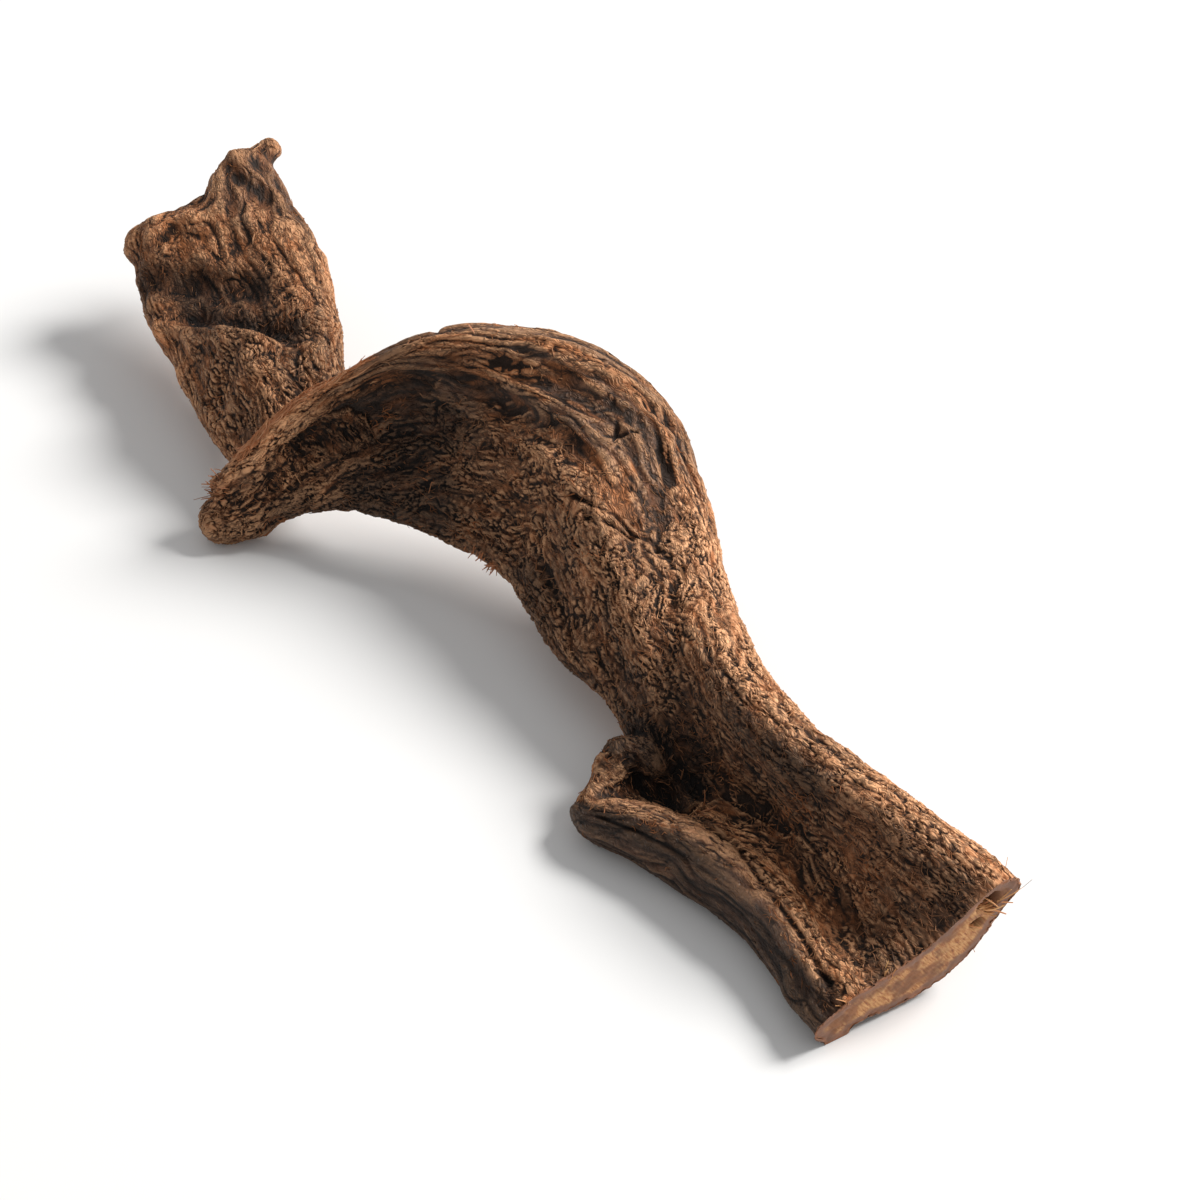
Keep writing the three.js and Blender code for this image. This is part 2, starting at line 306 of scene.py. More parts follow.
class Guide:
    """One plate of the branch as a row of flat cross-sections."""

    def __init__(self, stations, steps):
        rows = [np.array([*ridge, *rim, r1, r2], float) for ridge, rim, r1, r2 in stations]
        last = len(rows) - 1
        values = np.array([between(rows, k * last / steps) for k in range(steps + 1)])
        ridge = values[:, 0:3] - OFF_MIDDLE
        rim = values[:, 3:6] - OFF_MIDDLE
        self.middle = (ridge + rim) / 2
        self.across = ridge - rim
        self.width = np.linalg.norm(self.across, axis=1)
        self.across /= self.width[:, None]
        along = np.gradient(self.middle, axis=0)
        self.out = np.cross(self.across, along)
        self.out /= np.linalg.norm(self.out, axis=1)[:, None]
        self.along = np.cross(self.out, self.across)
        step = np.linalg.norm(np.diff(self.middle, axis=0), axis=1)
        self.length = np.concatenate([[0], np.cumsum(step)])
        self.radius = values[:, 6:8]

    def outline(self, ring, sides=20):
        """Points round one section, near enough to find which section a point belongs to."""
        half = self.width[ring] / 2
        thick = self.radius[ring].mean() + 2
        a = np.linspace(0, 2 * math.pi, sides, endpoint=False)
        return (
            self.middle[ring]
            + np.outer(half * np.cos(a), self.across[ring])
            + np.outer(thick * np.sin(a), self.out[ring])
        )

    def local(self, points, ring):
        """Along, across and out for points, each read at its own ring and the next."""
        lean = np.einsum("ij,ij->i", points - self.middle[ring], self.along[ring])
        last = len(self.length) - 1
        step = self.length[last] / last
        place = np.clip(ring + lean / step, 0, last)
        low = np.clip(np.floor(place).astype(int), 0, last - 1)
        f = (place - low)[:, None]

        def mixed(v):
            return v[low] * (1 - f) + v[low + 1] * f

        offset = points - mixed(self.middle)
        along = np.einsum("ij,ij->i", offset, mixed(self.along)) + mixed(self.length[:, None])[:, 0]
        across = np.einsum("ij,ij->i", offset, mixed(self.across))
        out = np.einsum("ij,ij->i", offset, mixed(self.out))
        share = across / (mixed(self.width[:, None])[:, 0] / 2)
        return np.stack([along, across, out], -1), place / last, share, mixed(self.along)


GUIDES = [Guide(STEM, 120), Guide(TAIL, 50), Guide(ROLL, 40)]
GRAIN_APART = 600.0  # keeps the grain of the three guides from meeting


def grain_of(points):
    """For each point: its guide, its grain coordinates, place along and across, and direction."""
    tree = KDTree(sum(len(g.length) * 20 for g in GUIDES))
    owners = []
    for n, guide in enumerate(GUIDES):
        for ring in range(len(guide.length)):
            for place in guide.outline(ring):
                tree.insert(place, len(owners))
                owners.append((n, ring))
    tree.balance()
    owners = np.array(owners)
    hit = np.array([tree.find(p)[1] for p in points])
    which, ring = owners[hit].T
    grain = np.zeros((len(points), 3))
    place = np.zeros(len(points))
    share = np.zeros(len(points))
    flow = np.zeros((len(points), 3))
    for n, guide in enumerate(GUIDES):
        k = which == n
        if k.any():
            grain[k], place[k], share[k], flow[k] = guide.local(points[k], ring[k])
            grain[k, 0] += GRAIN_APART * n
    return which, grain, place, share, flow


# Meshes as arrays
def places_of(mesh):
    co = np.zeros(len(mesh.vertices) * 3)
    mesh.vertices.foreach_get("co", co)
    return co.reshape(-1, 3) / MM


def put_places(mesh, points):
    mesh.vertices.foreach_set("co", (points * MM).ravel())
    mesh.update()


def normals_of(mesh):
    n = np.zeros(len(mesh.vertices) * 3, np.float32)
    mesh.vertices.foreach_get("normal", n)
    return n.reshape(-1, 3).astype(float)


def edges_of(mesh):
    e = np.zeros(len(mesh.edges) * 2, np.int32)
    mesh.edges.foreach_get("vertices", e)
    return e.reshape(-1, 2)


def averaged(values, edges, count):
    """The mean of each vertex's neighbours."""
    degree = np.bincount(edges.ravel(), minlength=count)
    out = np.empty_like(values)
    for k in range(values.shape[1]):
        total = np.bincount(edges[:, 0], values[edges[:, 1], k], count)
        total += np.bincount(edges[:, 1], values[edges[:, 0], k], count)
        out[:, k] = total / np.maximum(degree, 1)
    return out


def smoothed(points, edges, rounds, hold):
    """Evens the faces out without shrinking the shape. hold is 1 where nothing moves."""
    free = (1 - hold)[:, None]
    for _ in range(rounds):
        for share in (0.6, -0.58):
            points = points + share * free * (averaged(points, edges, len(points)) - points)
    return points


def store(mesh, name, values):
    kind = "FLOAT_VECTOR" if values.ndim == 2 else "FLOAT"
    layer = mesh.attributes.new(name, kind, "POINT")
    layer.data.foreach_set("vector" if values.ndim == 2 else "value", values.ravel())


def deselect_all():
    for o in bpy.context.view_layer.objects:
        o.select_set(False)


def only(o):
    deselect_all()
    o.select_set(True)
    bpy.context.view_layer.objects.active = o


# Marks of the bark, by their places on it in millimetres.
RIM_CRACK = [(90, -23, 16), (104, -23, 18), (118, -21, 19), (131, -20, 19), (150, -25, 20),
             (166, -27, 18), (182, -31, 16), (189, -32, 11)]
RIM_SLOPE = [(112, -17, 15), (127, -16, 16), (142, -17, 16), (158, -20, 17), (173, -24, 17),
             (188, -28, 18)]
RIM_TOP = [(89, -34, 14), (102, -29, 18), (119, -26, 20), (136, -26, 20), (153, -28, 18),
           (169, -31, 16)]
RIM_LINES = [
    [(96, -41, 15), (112, -36, 16), (132, -32, 17), (152, -32, 17), (172, -36, 15), (186, -41, 12)],
    [(104, -43, 9), (128, -38, 9), (150, -37, 9), (172, -41, 9)],
]
LIMB_CRACKS = [
    [(16, 11, 49), (27, 13, 51), (31, 16, 50), (38, 17, 47), (42, 20, 46), (46, 19, 45)],
    [(25, 9, 48), (32, 12, 49), (36, 14, 48), (39, 16, 47)],
    [(8, 33, 62), (13, 29, 58), (17, 25, 54)],
    [(9, 27, 58), (12, 31, 59), (15, 36, 61)],
    [(90, 10, 43), (96, 0, 38), (98, -4, 32)],
    [(46, 2, 36), (52, 4, 38), (57, 3, 38), (63, 6, 40)],
]
CAVITY = (96, -15, 12)
TROUGH_BOTTOM = [(103, -12, 16), (114, -11, 17), (128, -8, 19), (145, -10, 19), (158, -13, 18),
                 (172, -15, 19)]
FOOT_HOLLOW = (-66, -39, 8)
HEAD_BAND = [(-174, -18, 30), (-164, -14, 33), (-156, -9, 35), (-147, -4, 37), (-138, 0, 40)]
HEAD_LOBE = [(-183, -8, 40), (-177, 2, 44), (-169, 9, 46), (-157, 14, 46), (-145, 17, 46)]
LEFT_LOBE = (-180, -12, 36)
HEAD_SHADE = (-170, 31, 50)
HEAD_HOLE = (-124, 6, 42)
ROOT_PEAK = (-187, 26, 53)
ROOT_SHOULDER = (-188, 15, 49)
TORN_FOOT = (-81, -50, 19)
LIP = [(-80, -42, 31), (-77, -34, 41), (-70, -23, 52), (-60, -8, 62)]
TORN_HOLES = [((196, 10, 30), 3.6, 5.0), ((194, 8, 23), 2.2, 3.0)]
# The hollow under the lip lies in shade. It is sunk, and it gets painted shade.
SHADED_HOLLOW = (-44, -4, 42)
WALL_STAIN = (165, -4, 35)
LIMB_SHOULDER = (30, 24, 50)
HEAD_FOLD = [(-156, -24, 24), (-144, -22, 28), (-124, -20, 38), (-110, -14, 43), (-97, -3, 42)]
HEAD_DIP = [(-146, -17, 30), (-131, -13, 37), (-119, -7, 39), (-112, -4, 41)]
FURROWS = [
    [(-26, 24, 71), (-9, 30, 66), (6, 35, 63), (14, 38, 62), (26, 38, 55), (31, 37, 53)],
    [(-37, 9, 59), (-29, 14, 56), (-5, 19, 58), (8, 20, 57), (15, 21, 56)],
    [(10, 44, 64), (18, 47, 58), (26, 49, 50), (34, 49, 41), (49, 38, 42)],
]
PLEATS = [
    [(-178, 23, 51), (-167, 25, 50), (-158, 24, 48)],
    [(-179, 30, 53), (-166, 32, 49), (-152, 30, 47)],
]
RIDGES = [
    [(-24, 31, 72), (-8, 38, 66), (6, 42, 62), (20, 43, 57)],
    [(-34, 16, 64), (-14, 24, 60), (4, 26, 59), (20, 27, 54)],
    [(-40, 3, 55), (-24, 9, 52), (-4, 13, 52), (14, 15, 50)],
    [(-182, 19, 49), (-172, 19, 49), (-160, 19, 47)],
    [(-184, 26, 53), (-174, 27, 51), (-162, 28, 49)],
]


# What each mark does: the mark, its radius in millimetres, and how far it sinks the bark, also
# in millimetres, or how much it colours it or paints shade on it. Below 0 it raises the bark,
# or makes it paler, which in the shade marks is painted light.
SUNK_MARKS = [
    (FOOT_HOLLOW, 4.5, 3.0),
    (SHADED_HOLLOW, 15, 2.5),
    (HEAD_BAND, 5.5, 2.4),
    (HEAD_DIP, 4.5, 1.4),
    (HEAD_HOLE, 1.5, 0.9),
    (HEAD_FOLD, 3.6, -2.0),
    (HEAD_LOBE, 6, -1.6),
    (LEFT_LOBE, 9, -1.5),
    (ROOT_PEAK, 7, -4.2),
    (ROOT_SHOULDER, 6, -2.6),
    *((line, 2.0, 1.0) for line in FURROWS),
    *((line, 2.6, 0.9) for line in PLEATS),
    *((line, 3.0, -1.3) for line in RIDGES),
]
ORANGE_MARKS = [
    (TORN_FOOT, 5.5, 0.9),
    (WALL_STAIN, 11, 0.6),
    (LEFT_LOBE, 12, 0.5),
    (RIM_SLOPE, 5, 0.25),
]
# Together with its paler paint among the shade and light marks, the grey along the rim's top is a painted
# sheen.
GREY_AND_SHEEN_MARKS = [
    (RIM_TOP, 4, 0.5),
    (HEAD_SHADE, 18, 0.5),
]
# Painted shade and painted light on the bark's colour. It is darker where shade falls: in the shaded
# hollow, the head's band, dip and upper side, the cavity, the trough's bottom, the foot's front, the
# furrows and the pleats. It is paler where light falls: on the head's fold, the limb's shoulder, the rim's
# top and inner slope, and the ridges.
SHADE_AND_LIGHT_MARKS = [
    (HEAD_BAND, 11, 1.7),
    (HEAD_DIP, 9, 1.5),
    (SHADED_HOLLOW, 27, 1.5),
    (HEAD_SHADE, 18, 1.2),
    (CAVITY, 12, 0.9),
    (TORN_FOOT, 15, 0.7),
    (TROUGH_BOTTOM, 6, 0.7),
    (HEAD_FOLD, 4, -0.3),
    (LIMB_SHOULDER, 20, -0.5),
    (RIM_TOP, 4, -1.2),
    (RIM_SLOPE, 5, -2.0),
    *((line, 2.0, 0.25) for line in FURROWS),
    *((line, 2.4, 0.5) for line in PLEATS),
    *((line, 3.0, -0.35) for line in RIDGES),
]


def marked(points, marks):
    """What the marks add up to at each point. A list is a line, and a single place is a tuple."""
    total = np.zeros(len(points))
    for mark, radius, amount in marks:
        close = near_line if isinstance(mark, list) else near
        total += amount * close(points, mark, radius)
    return total


def carved(points, normals):
    """The forms that the solid leaves out: hollows, the fold's crease, furrows, pleats and ridges."""
    facing_up = normals[:, 2] > -0.2
    fading = smoothstep(180, 135, points[:, 0])
    trough = 3.0 * fading * near_line(points, TROUGH_BOTTOM, 4.6)
    trough += 2.2 * near(points, CAVITY, 7) - 1.4 * near_line(points, RIM_SLOPE, 4)
    sunk = marked(points, SUNK_MARKS) + trough * facing_up
    return points - normals * sunk[:, None]


def lifted_underside(points):
    """Lets the edge between the foot and the trough stand a little clear of the floor."""
    x, y, z = points.T
    span = smoothstep(-50, -30, x) * smoothstep(78, 58, x) * smoothstep(28, 18, y)
    lift = 4.0 * span * smoothstep(17, 4, z)
    return points + lift[:, None] * (0, 0, 1)


class Places:
    """Where on the branch each point lies, as masks from 0 to 1."""

    def __init__(self, points, grain, which, place, share):
        stem = which == 0
        front = smoothstep(-2, 3, grain[:, 2])
        self.crest = stem * smoothstep(0.42, 0.52, place) * (1 - smoothstep(0.8, 0.9, place))
        self.crest = self.crest * smoothstep(-0.15, 0.35, share)
        self.rim_bark = (which == 2) * smoothstep(-0.1, -0.6, share)
        self.head = (which == 1) * smoothstep(0.3, 0.5, place)
        self.neck = (which == 1) * (1 - self.head)
        self.wall = stem * smoothstep(0.38, 0.28, place) * front * smoothstep(0.92, 0.62, share)
        self.limb = stem * (1 - self.crest) * (1 - self.wall)
        self.low_side = stem * front * smoothstep(-0.15, -0.85, share)
        self.high_side = stem * smoothstep(0.2, 0.85, share) * (1 - self.crest) * (1 - self.wall)
        self.lip = near_line(points, LIP, 5.0)
        self.rim = which == 2


# Below this height, in millimetres, a fold gets hardly deeper, so that no holes form.
DEEPEST_FOLD = -1.4


def chips(grain, length, width, seed):
    """Small chips of bark: their height, the slit between them, and a tone for each."""
    first, gap, tone = flakes(grain / (length, width, width), seed)
    kept = smoothstep(-0.2, 0.35, noise(grain / (width * 2.6), seed + 5))
    slit = np.exp(-((gap / 0.15) ** 2)) * kept
    return 0.55 - np.clip(first, 0, 1), slit, tone


def folds(flowing, places):
    """Long and short folds, ribs and narrow lines along the grain, stronger where the bark is so."""
    long_folds = np.abs(noise(flowing / (44, 8.5, 8.5), 3)) ** 0.6 - 0.62
    short_folds = np.abs(noise(flowing / (18, 4.2, 4.2), 4)) ** 0.6 - 0.62
    ribs = np.abs(noise(flowing / (70, 4.4, 4.4), 5)) ** 0.7 - 0.6
    narrow = np.abs(noise(flowing / (24, 2.3, 2.3), 6)) ** 0.7 - 0.6
    fold = 0.85 + 0.7 * places.crest - 0.1 * places.head - 0.1 * places.rim - 0.45 * places.wall
    ribbed = 0.7 * places.crest + 0.7 * places.rim_bark + 0.2 * places.head
    lined = 0.12 + 0.36 * places.crest + 0.28 * places.rim_bark + 0.16 * places.head
    return fold * long_folds + 0.6 * short_folds + ribbed * ribs + lined * narrow


def cracks_at(points):
    """The few long cracks, broken up along their way."""
    cracks = near_line(points, RIM_CRACK, 0.9)
    for line in LIMB_CRACKS:
        cracks = np.maximum(cracks, near_line(points, line, 0.75))
    for line in RIM_LINES:
        cracks = np.maximum(cracks, 0.6 * near_line(points, line, 0.8))
    return cracks * (0.35 + 0.65 * smoothstep(-0.4, 0.2, noise(points / 4, 81)))


def relief(points, grain, places, sizes):
    """The height of the bark over the smooth form, how deep its slits are, and each chip's tone."""
    wide = np.stack([noise(grain / 11, 11 + k) for k in range(3)], -1)
    tight = np.stack([noise(grain / 4.2, 14 + k) for k in range(3)], -1)
    flowing = grain + wide * (2.5, 3.2, 3.2)
    curled = flowing + tight * (1.1, 1.2, 1.2)
    height = noise(grain / (30, 17, 17), 1) * 0.8 + noise(grain / (12, 9, 9), 2) * 0.55
    height = height + sizes.wrinkle / MM * folds(flowing, places)
    low, slit, tone = chips(curled, 5.6, 1.5, 21)
    low2, slit2, tone2 = chips(curled, 10.0, 1.6, 41)
    longer = np.clip(0.9 * places.crest + 0.7 * places.head + places.rim, 0, 1)
    dome = low + (low2 - low) * longer
    slit = slit + (slit2 * 0.75 - slit) * longer
    tone = tone + (tone2 - tone) * longer
    calm = 1 - 0.75 * places.rim_bark - 0.5 * places.crest - 0.5 * places.head - 0.35 * places.wall
    fine = noise(curled / (2.2, 0.9, 0.9), 51)
    strokes = np.exp(-((noise(curled / (5.5, 1.5, 1.5), 61) / 0.14) ** 2))
    strokes = strokes * smoothstep(-0.1, 0.3, noise(grain / 3.4, 62)) * (1 - 0.6 * longer)
    chipped = calm * (0.45 * dome - 0.95 * slit - 0.6 * strokes + 0.2 * fine)
    height = height + sizes.flake / MM * chipped
    pits = smoothstep(0.72, 0.88, noise(flowing / (4.0, 1.9, 1.9), 71)) * calm * calm
    height = height - 0.7 * pits
    height = np.maximum(height, DEEPEST_FOLD + 0.35 * (height - DEEPEST_FOLD))
    cracks = cracks_at(points)
    height = height - sizes.crack / MM * cracks
    depth = np.clip(calm * np.maximum(0.8 * slit, 0.5 * strokes) + 0.7 * pits + cracks, 0, 1)
    return height, depth, tone


def paint_of(points, grain, places):
    """How orange and how grey the bark is, and how much painted shade it gets, which goes below 0 where it
    gets painted light.
    """
    patchy = 0.5 + 0.5 * fractal(grain / (24, 10, 10), 91)
    streaky = 0.5 + 0.5 * fractal(grain / (26, 3.4, 3.4), 95)
    orange = marked(points, ORANGE_MARKS) + 0.8 * places.lip
    orange += 0.7 * smoothstep(-2.5, -0.3, past_cut(points))
    orange += (0.55 * places.head + 0.35 * places.neck) * patchy
    orange += 0.9 * places.crest * smoothstep(0.5, 0.85, streaky)
    grey = marked(points, GREY_AND_SHEEN_MARKS) + 0.6 * places.rim_bark * smoothstep(0.1, 0.5, patchy)
    grey += 0.6 * places.crest * smoothstep(0.6, 0.2, streaky)
    grey += 0.15 * places.limb * (1 - patchy)
    # Painted shade on the trough's wall and on the limb's low side, away from the light. The rim's outer
    # bark is darker, partly its own brown and partly painted shade. Painted light on the limb's high side,
    # on the head and on the limb. The patchy and streaky terms are the bark's own uneven tone.
    dark = marked(points, SHADE_AND_LIGHT_MARKS) + 0.75 * places.wall + 1.6 * places.rim_bark
    dark += 0.9 * places.low_side - 0.9 * places.high_side
    dark -= 0.6 * places.head + 0.15 * places.limb
    dark += 1.1 * (0.5 - patchy)
    dark += 0.5 * (0.5 - streaky) * (places.crest + places.head + places.rim_bark)
    masks = np.stack([orange, grey, dark], -1)
    return np.clip(masks, (0, 0, -1), (1, 1, 1.3))


def saw_face(points):
    """Brings what stands past the saw cut back to its plane, then tears the face a little."""
    past = past_cut(points)
    points = points - np.maximum(past, 0)[:, None] * CUT_NORMAL
    on_face = past > -0.02
    rough = 0.16 + 0.16 * noise(points / 1.1, 71) + 0.2 * noise(points / (9, 1.3, 1.3), 72)
    torn = np.zeros(len(points))
    for place, radius, depth in TORN_HOLES:
        ragged = radius * (1 + 0.35 * noise(points / 2.2, 73))
        away = np.linalg.norm(points - np.array(place), axis=1)
        hole = smoothstep(1.15, 0.55, away / ragged) * on_face
        torn = np.maximum(torn, hole)
        rough = rough + depth * hole
    inset = smoothstep(0.0, 1.4, past)
    points = points - (np.clip(rough, 0, 9) * on_face * inset)[:, None] * CUT_NORMAL
    return points, on_face, torn


def copied_branch():
    """A merged copy of the solid, its sawn end let out a little so that the saw can cut it again."""
    source = frame["nodes"][NODE]
    copy = bpy.data.objects.new("branch", source.data.copy())
    bpy.context.scene.collection.objects.link(copy)
    copy.data.materials.clear()
    only(copy)
    bpy.ops.object.mode_set(mode="EDIT")
    bpy.ops.mesh.select_all(action="SELECT")
    bpy.ops.mesh.remove_doubles(threshold=0.002 * MM)
    bpy.ops.object.mode_set(mode="OBJECT")
    points = places_of(copy.data)
    on_plane = np.abs(past_cut(points)) < 0.05
    put_places(copy.data, points + PAST_CUT * on_plane[:, None] * CUT_NORMAL)
    return copy


def remeshed(o, size):
    maker = o.modifiers.new("Even faces", "REMESH")
    maker.mode = "VOXEL"
    maker.voxel_size = size
    maker.use_smooth_shade = True
    only(o)
    bpy.ops.object.modifier_apply(modifier=maker.name)


def kept_in_box(points):
    low = np.array(CAD_BOX[0]) / MM
    high = np.array(CAD_BOX[1]) / MM
    return np.clip(points, low, high)


def held_places(points):
    """1 where the form is kept: past the saw cut, and where the branch rests."""
    return np.clip(smoothstep(0.9, 1.5, past_cut(points)) + (points[:, 2] < RESTING_BELOW), 0, 1)


def even_form(branch):
    """Smooths the facets of the solid away and carves the larger marks."""
    mesh = branch.data
    edges = edges_of(mesh)
    points = places_of(mesh)
    hold = held_places(points)
    put_places(mesh, smoothed(points, edges, 20, hold))
    points = lifted_underside(carved(places_of(mesh), normals_of(mesh)))
    put_places(mesh, smoothed(points, edges, 3, hold))


def raised(points, normals, height, resting):
    """The points moved out by the relief, less where the branch rests and not at the sawn end."""
    sawn_end = smoothstep(0.6, 0.9, normals @ CUT_NORMAL) * smoothstep(-0.6, 0.3, past_cut(points))
    height = (height - 0.5) * (1 - sawn_end)
    height = np.where(resting, np.minimum(height, 0) * 0.2, height)
    moved = points + normals * height[:, None]
    moved[:, 2] = np.where(resting, points[:, 2], np.maximum(moved[:, 2], 0.05))
    return moved


def standing_out(mesh, points, edges):
    """How far each point stands out of its near surroundings, and these of the far ones."""
    normals = normals_of(mesh)
    near_mean = points
    for _ in range(NEAR_ROUNDS):
        near_mean = averaged(near_mean, edges, len(points))
    far_mean = near_mean
    for _ in range(FAR_ROUNDS):
        far_mean = averaged(far_mean, edges, len(points))
    fine = np.einsum("ij,ij->i", points - near_mean, normals) / FINE_HEIGHT
    broad = np.einsum("ij,ij->i", near_mean - far_mean, normals) / BROAD_HEIGHT
    return fine, broad


def give_sawn_faces(mesh, on_face):
    """Gives the second material to the faces that lie on the saw cut with all their corners."""
    corners = np.zeros(len(mesh.loops), np.int32)
    mesh.loops.foreach_get("vertex_index", corners)
    starts = np.zeros(len(mesh.polygons), np.int32)
    mesh.polygons.foreach_get("loop_start", starts)
    sawn = np.minimum.reduceat(on_face[corners], starts)
    mesh.polygons.foreach_set("material_index", sawn.astype(np.int32))
    mesh.polygons.foreach_set("use_smooth", np.ones(len(starts), bool))
    mesh.update()


def cover_with_bark(branch, sizes):
    """Gives the smooth form its relief, and stores what the materials read."""
    mesh = branch.data
    edges = edges_of(mesh)
    points = places_of(mesh)
    resting = points[:, 2] < RESTING_BELOW
    points = smoothed(points, edges, 4, held_places(points))
    put_places(mesh, points)
    which, grain, place, share, _ = grain_of(points)
    places = Places(points, grain, which, place, share)
    height, depth, tone = relief(points, grain, places, sizes)
    moved, on_face, torn = saw_face(raised(points, normals_of(mesh), height, resting))
    moved = kept_in_box(moved)
    put_places(mesh, moved)
    fine, broad = standing_out(mesh, moved, edges)
    store(mesh, "grain", grain * GRAIN_SCALE)
    store(mesh, "paint", paint_of(points, grain, places))
    # In the bark's colour, fine and broad become painted shade in hollows and painted light where the bark
    # stands out.
    store(mesh, "relief", np.clip(np.stack([fine, broad, tone], -1), -2, 2))
    store(mesh, "depth", depth)
    store(mesh, "torn", torn)
    store(mesh, "inward", cut_edge_distance(moved, on_face))
    give_sawn_faces(mesh, on_face)


# The lengths that the branch is cut into, each with its two ends along X in millimetres.
LENGTHS = (
    ("root_end", None, -92.0),
    ("arch", -92.0, -5.0),
    ("limb", -5.0, 88.0),
    ("trough_end", 88.0, None),
)


# A face with more corners than this is the cap that closes a cut, and stays flat.
CAP_CORNERS = 12


def cut_to_length(branch, name, low, high):
    """A copy of the branch between two places along it, closed where it is cut."""
    piece = bpy.data.objects.new(name, branch.data.copy())
    bpy.context.scene.collection.objects.link(piece)
    only(piece)
    bpy.ops.object.mode_set(mode="EDIT")
    for x, outer in ((low, False), (high, True)):
        if x is not None:
            bpy.ops.mesh.select_all(action="SELECT")
            bpy.ops.mesh.bisect(
                plane_co=(x * MM, 0, 0), plane_no=(1, 0, 0), use_fill=True,
                clear_inner=not outer, clear_outer=outer, threshold=1e-7,
            )
    bpy.ops.object.mode_set(mode="OBJECT")
    for polygon in piece.data.polygons:
        if len(polygon.vertices) > CAP_CORNERS:
            polygon.use_smooth = False
    return piece


def cut_edge_distance(points, on_face):
    """How far each point of the sawn face is from its edge, in millimetres."""
    border = np.nonzero(~on_face & (past_cut(points) > -2.5))[0]
    tree = KDTree(len(border))
    for n, k in enumerate(border):
        tree.insert(points[k], n)
    tree.balance()
    away = np.zeros(len(points))
    for k in np.nonzero(on_face)[0]:
        away[k] = tree.find(points[k])[2]
    return away


# Materials
def add(tree, kind, **settings):
    made = tree.nodes.new(kind)
    for name, value in settings.items():
        setattr(made, name, value)
    return made


def feed(tree, socket, value):
    if hasattr(value, "links"):
        tree.links.new(value, socket)
    else:
        socket.default_value = value


def math_node(tree, operation, a, b=0.0, c=0.0):
    made = add(tree, "ShaderNodeMath", operation=operation)
    for socket, value in zip(made.inputs, (a, b, c)):
        feed(tree, socket, value)
    return made.outputs[0]


def vector_node(tree, operation, a, b=(0, 0, 0), scale=None):
    made = add(tree, "ShaderNodeVectorMath", operation=operation)
    feed(tree, made.inputs[0], a)
    feed(tree, made.inputs[1], b)
    if scale is not None:
        feed(tree, made.inputs["Scale"], scale)
    return made.outputs[0]


def mix_colours(tree, share, a, b, blend="MIX"):
    made = add(tree, "ShaderNodeMix", data_type="RGBA", blend_type=blend)
    feed(tree, made.inputs["Factor"], share)
    feed(tree, made.inputs[6], a)
    feed(tree, made.inputs[7], b)
    return made.outputs[2]


def ramp(tree, value, low, high, start=0.0, end=1.0):
    made = add(tree, "ShaderNodeMapRange", interpolation_type="SMOOTHSTEP")
    for socket, v in zip(made.inputs, (value, low, high, start, end)):
        feed(tree, socket, v)
    return made.outputs[0]


def noise_node(tree, vector, scale, detail=2.0, roughness=0.5, output=0):
    made = add(tree, "ShaderNodeTexNoise")
    feed(tree, made.inputs["Vector"], vector)
    feed(tree, made.inputs["Scale"], scale)
    feed(tree, made.inputs["Detail"], detail)
    feed(tree, made.inputs["Roughness"], roughness)
    return made.outputs[output]


def new_group(name, inputs, outputs):
    group = bpy.data.node_groups.new(name, "ShaderNodeTree")
    for label, kind, value in inputs:
        socket = group.interface.new_socket(label, in_out="INPUT", socket_type=kind)
        if value is not None:
            socket.default_value = value
    for label, kind in outputs:
        group.interface.new_socket(label, in_out="OUTPUT", socket_type=kind)
    return group, add(group, "NodeGroupInput"), add(group, "NodeGroupOutput")


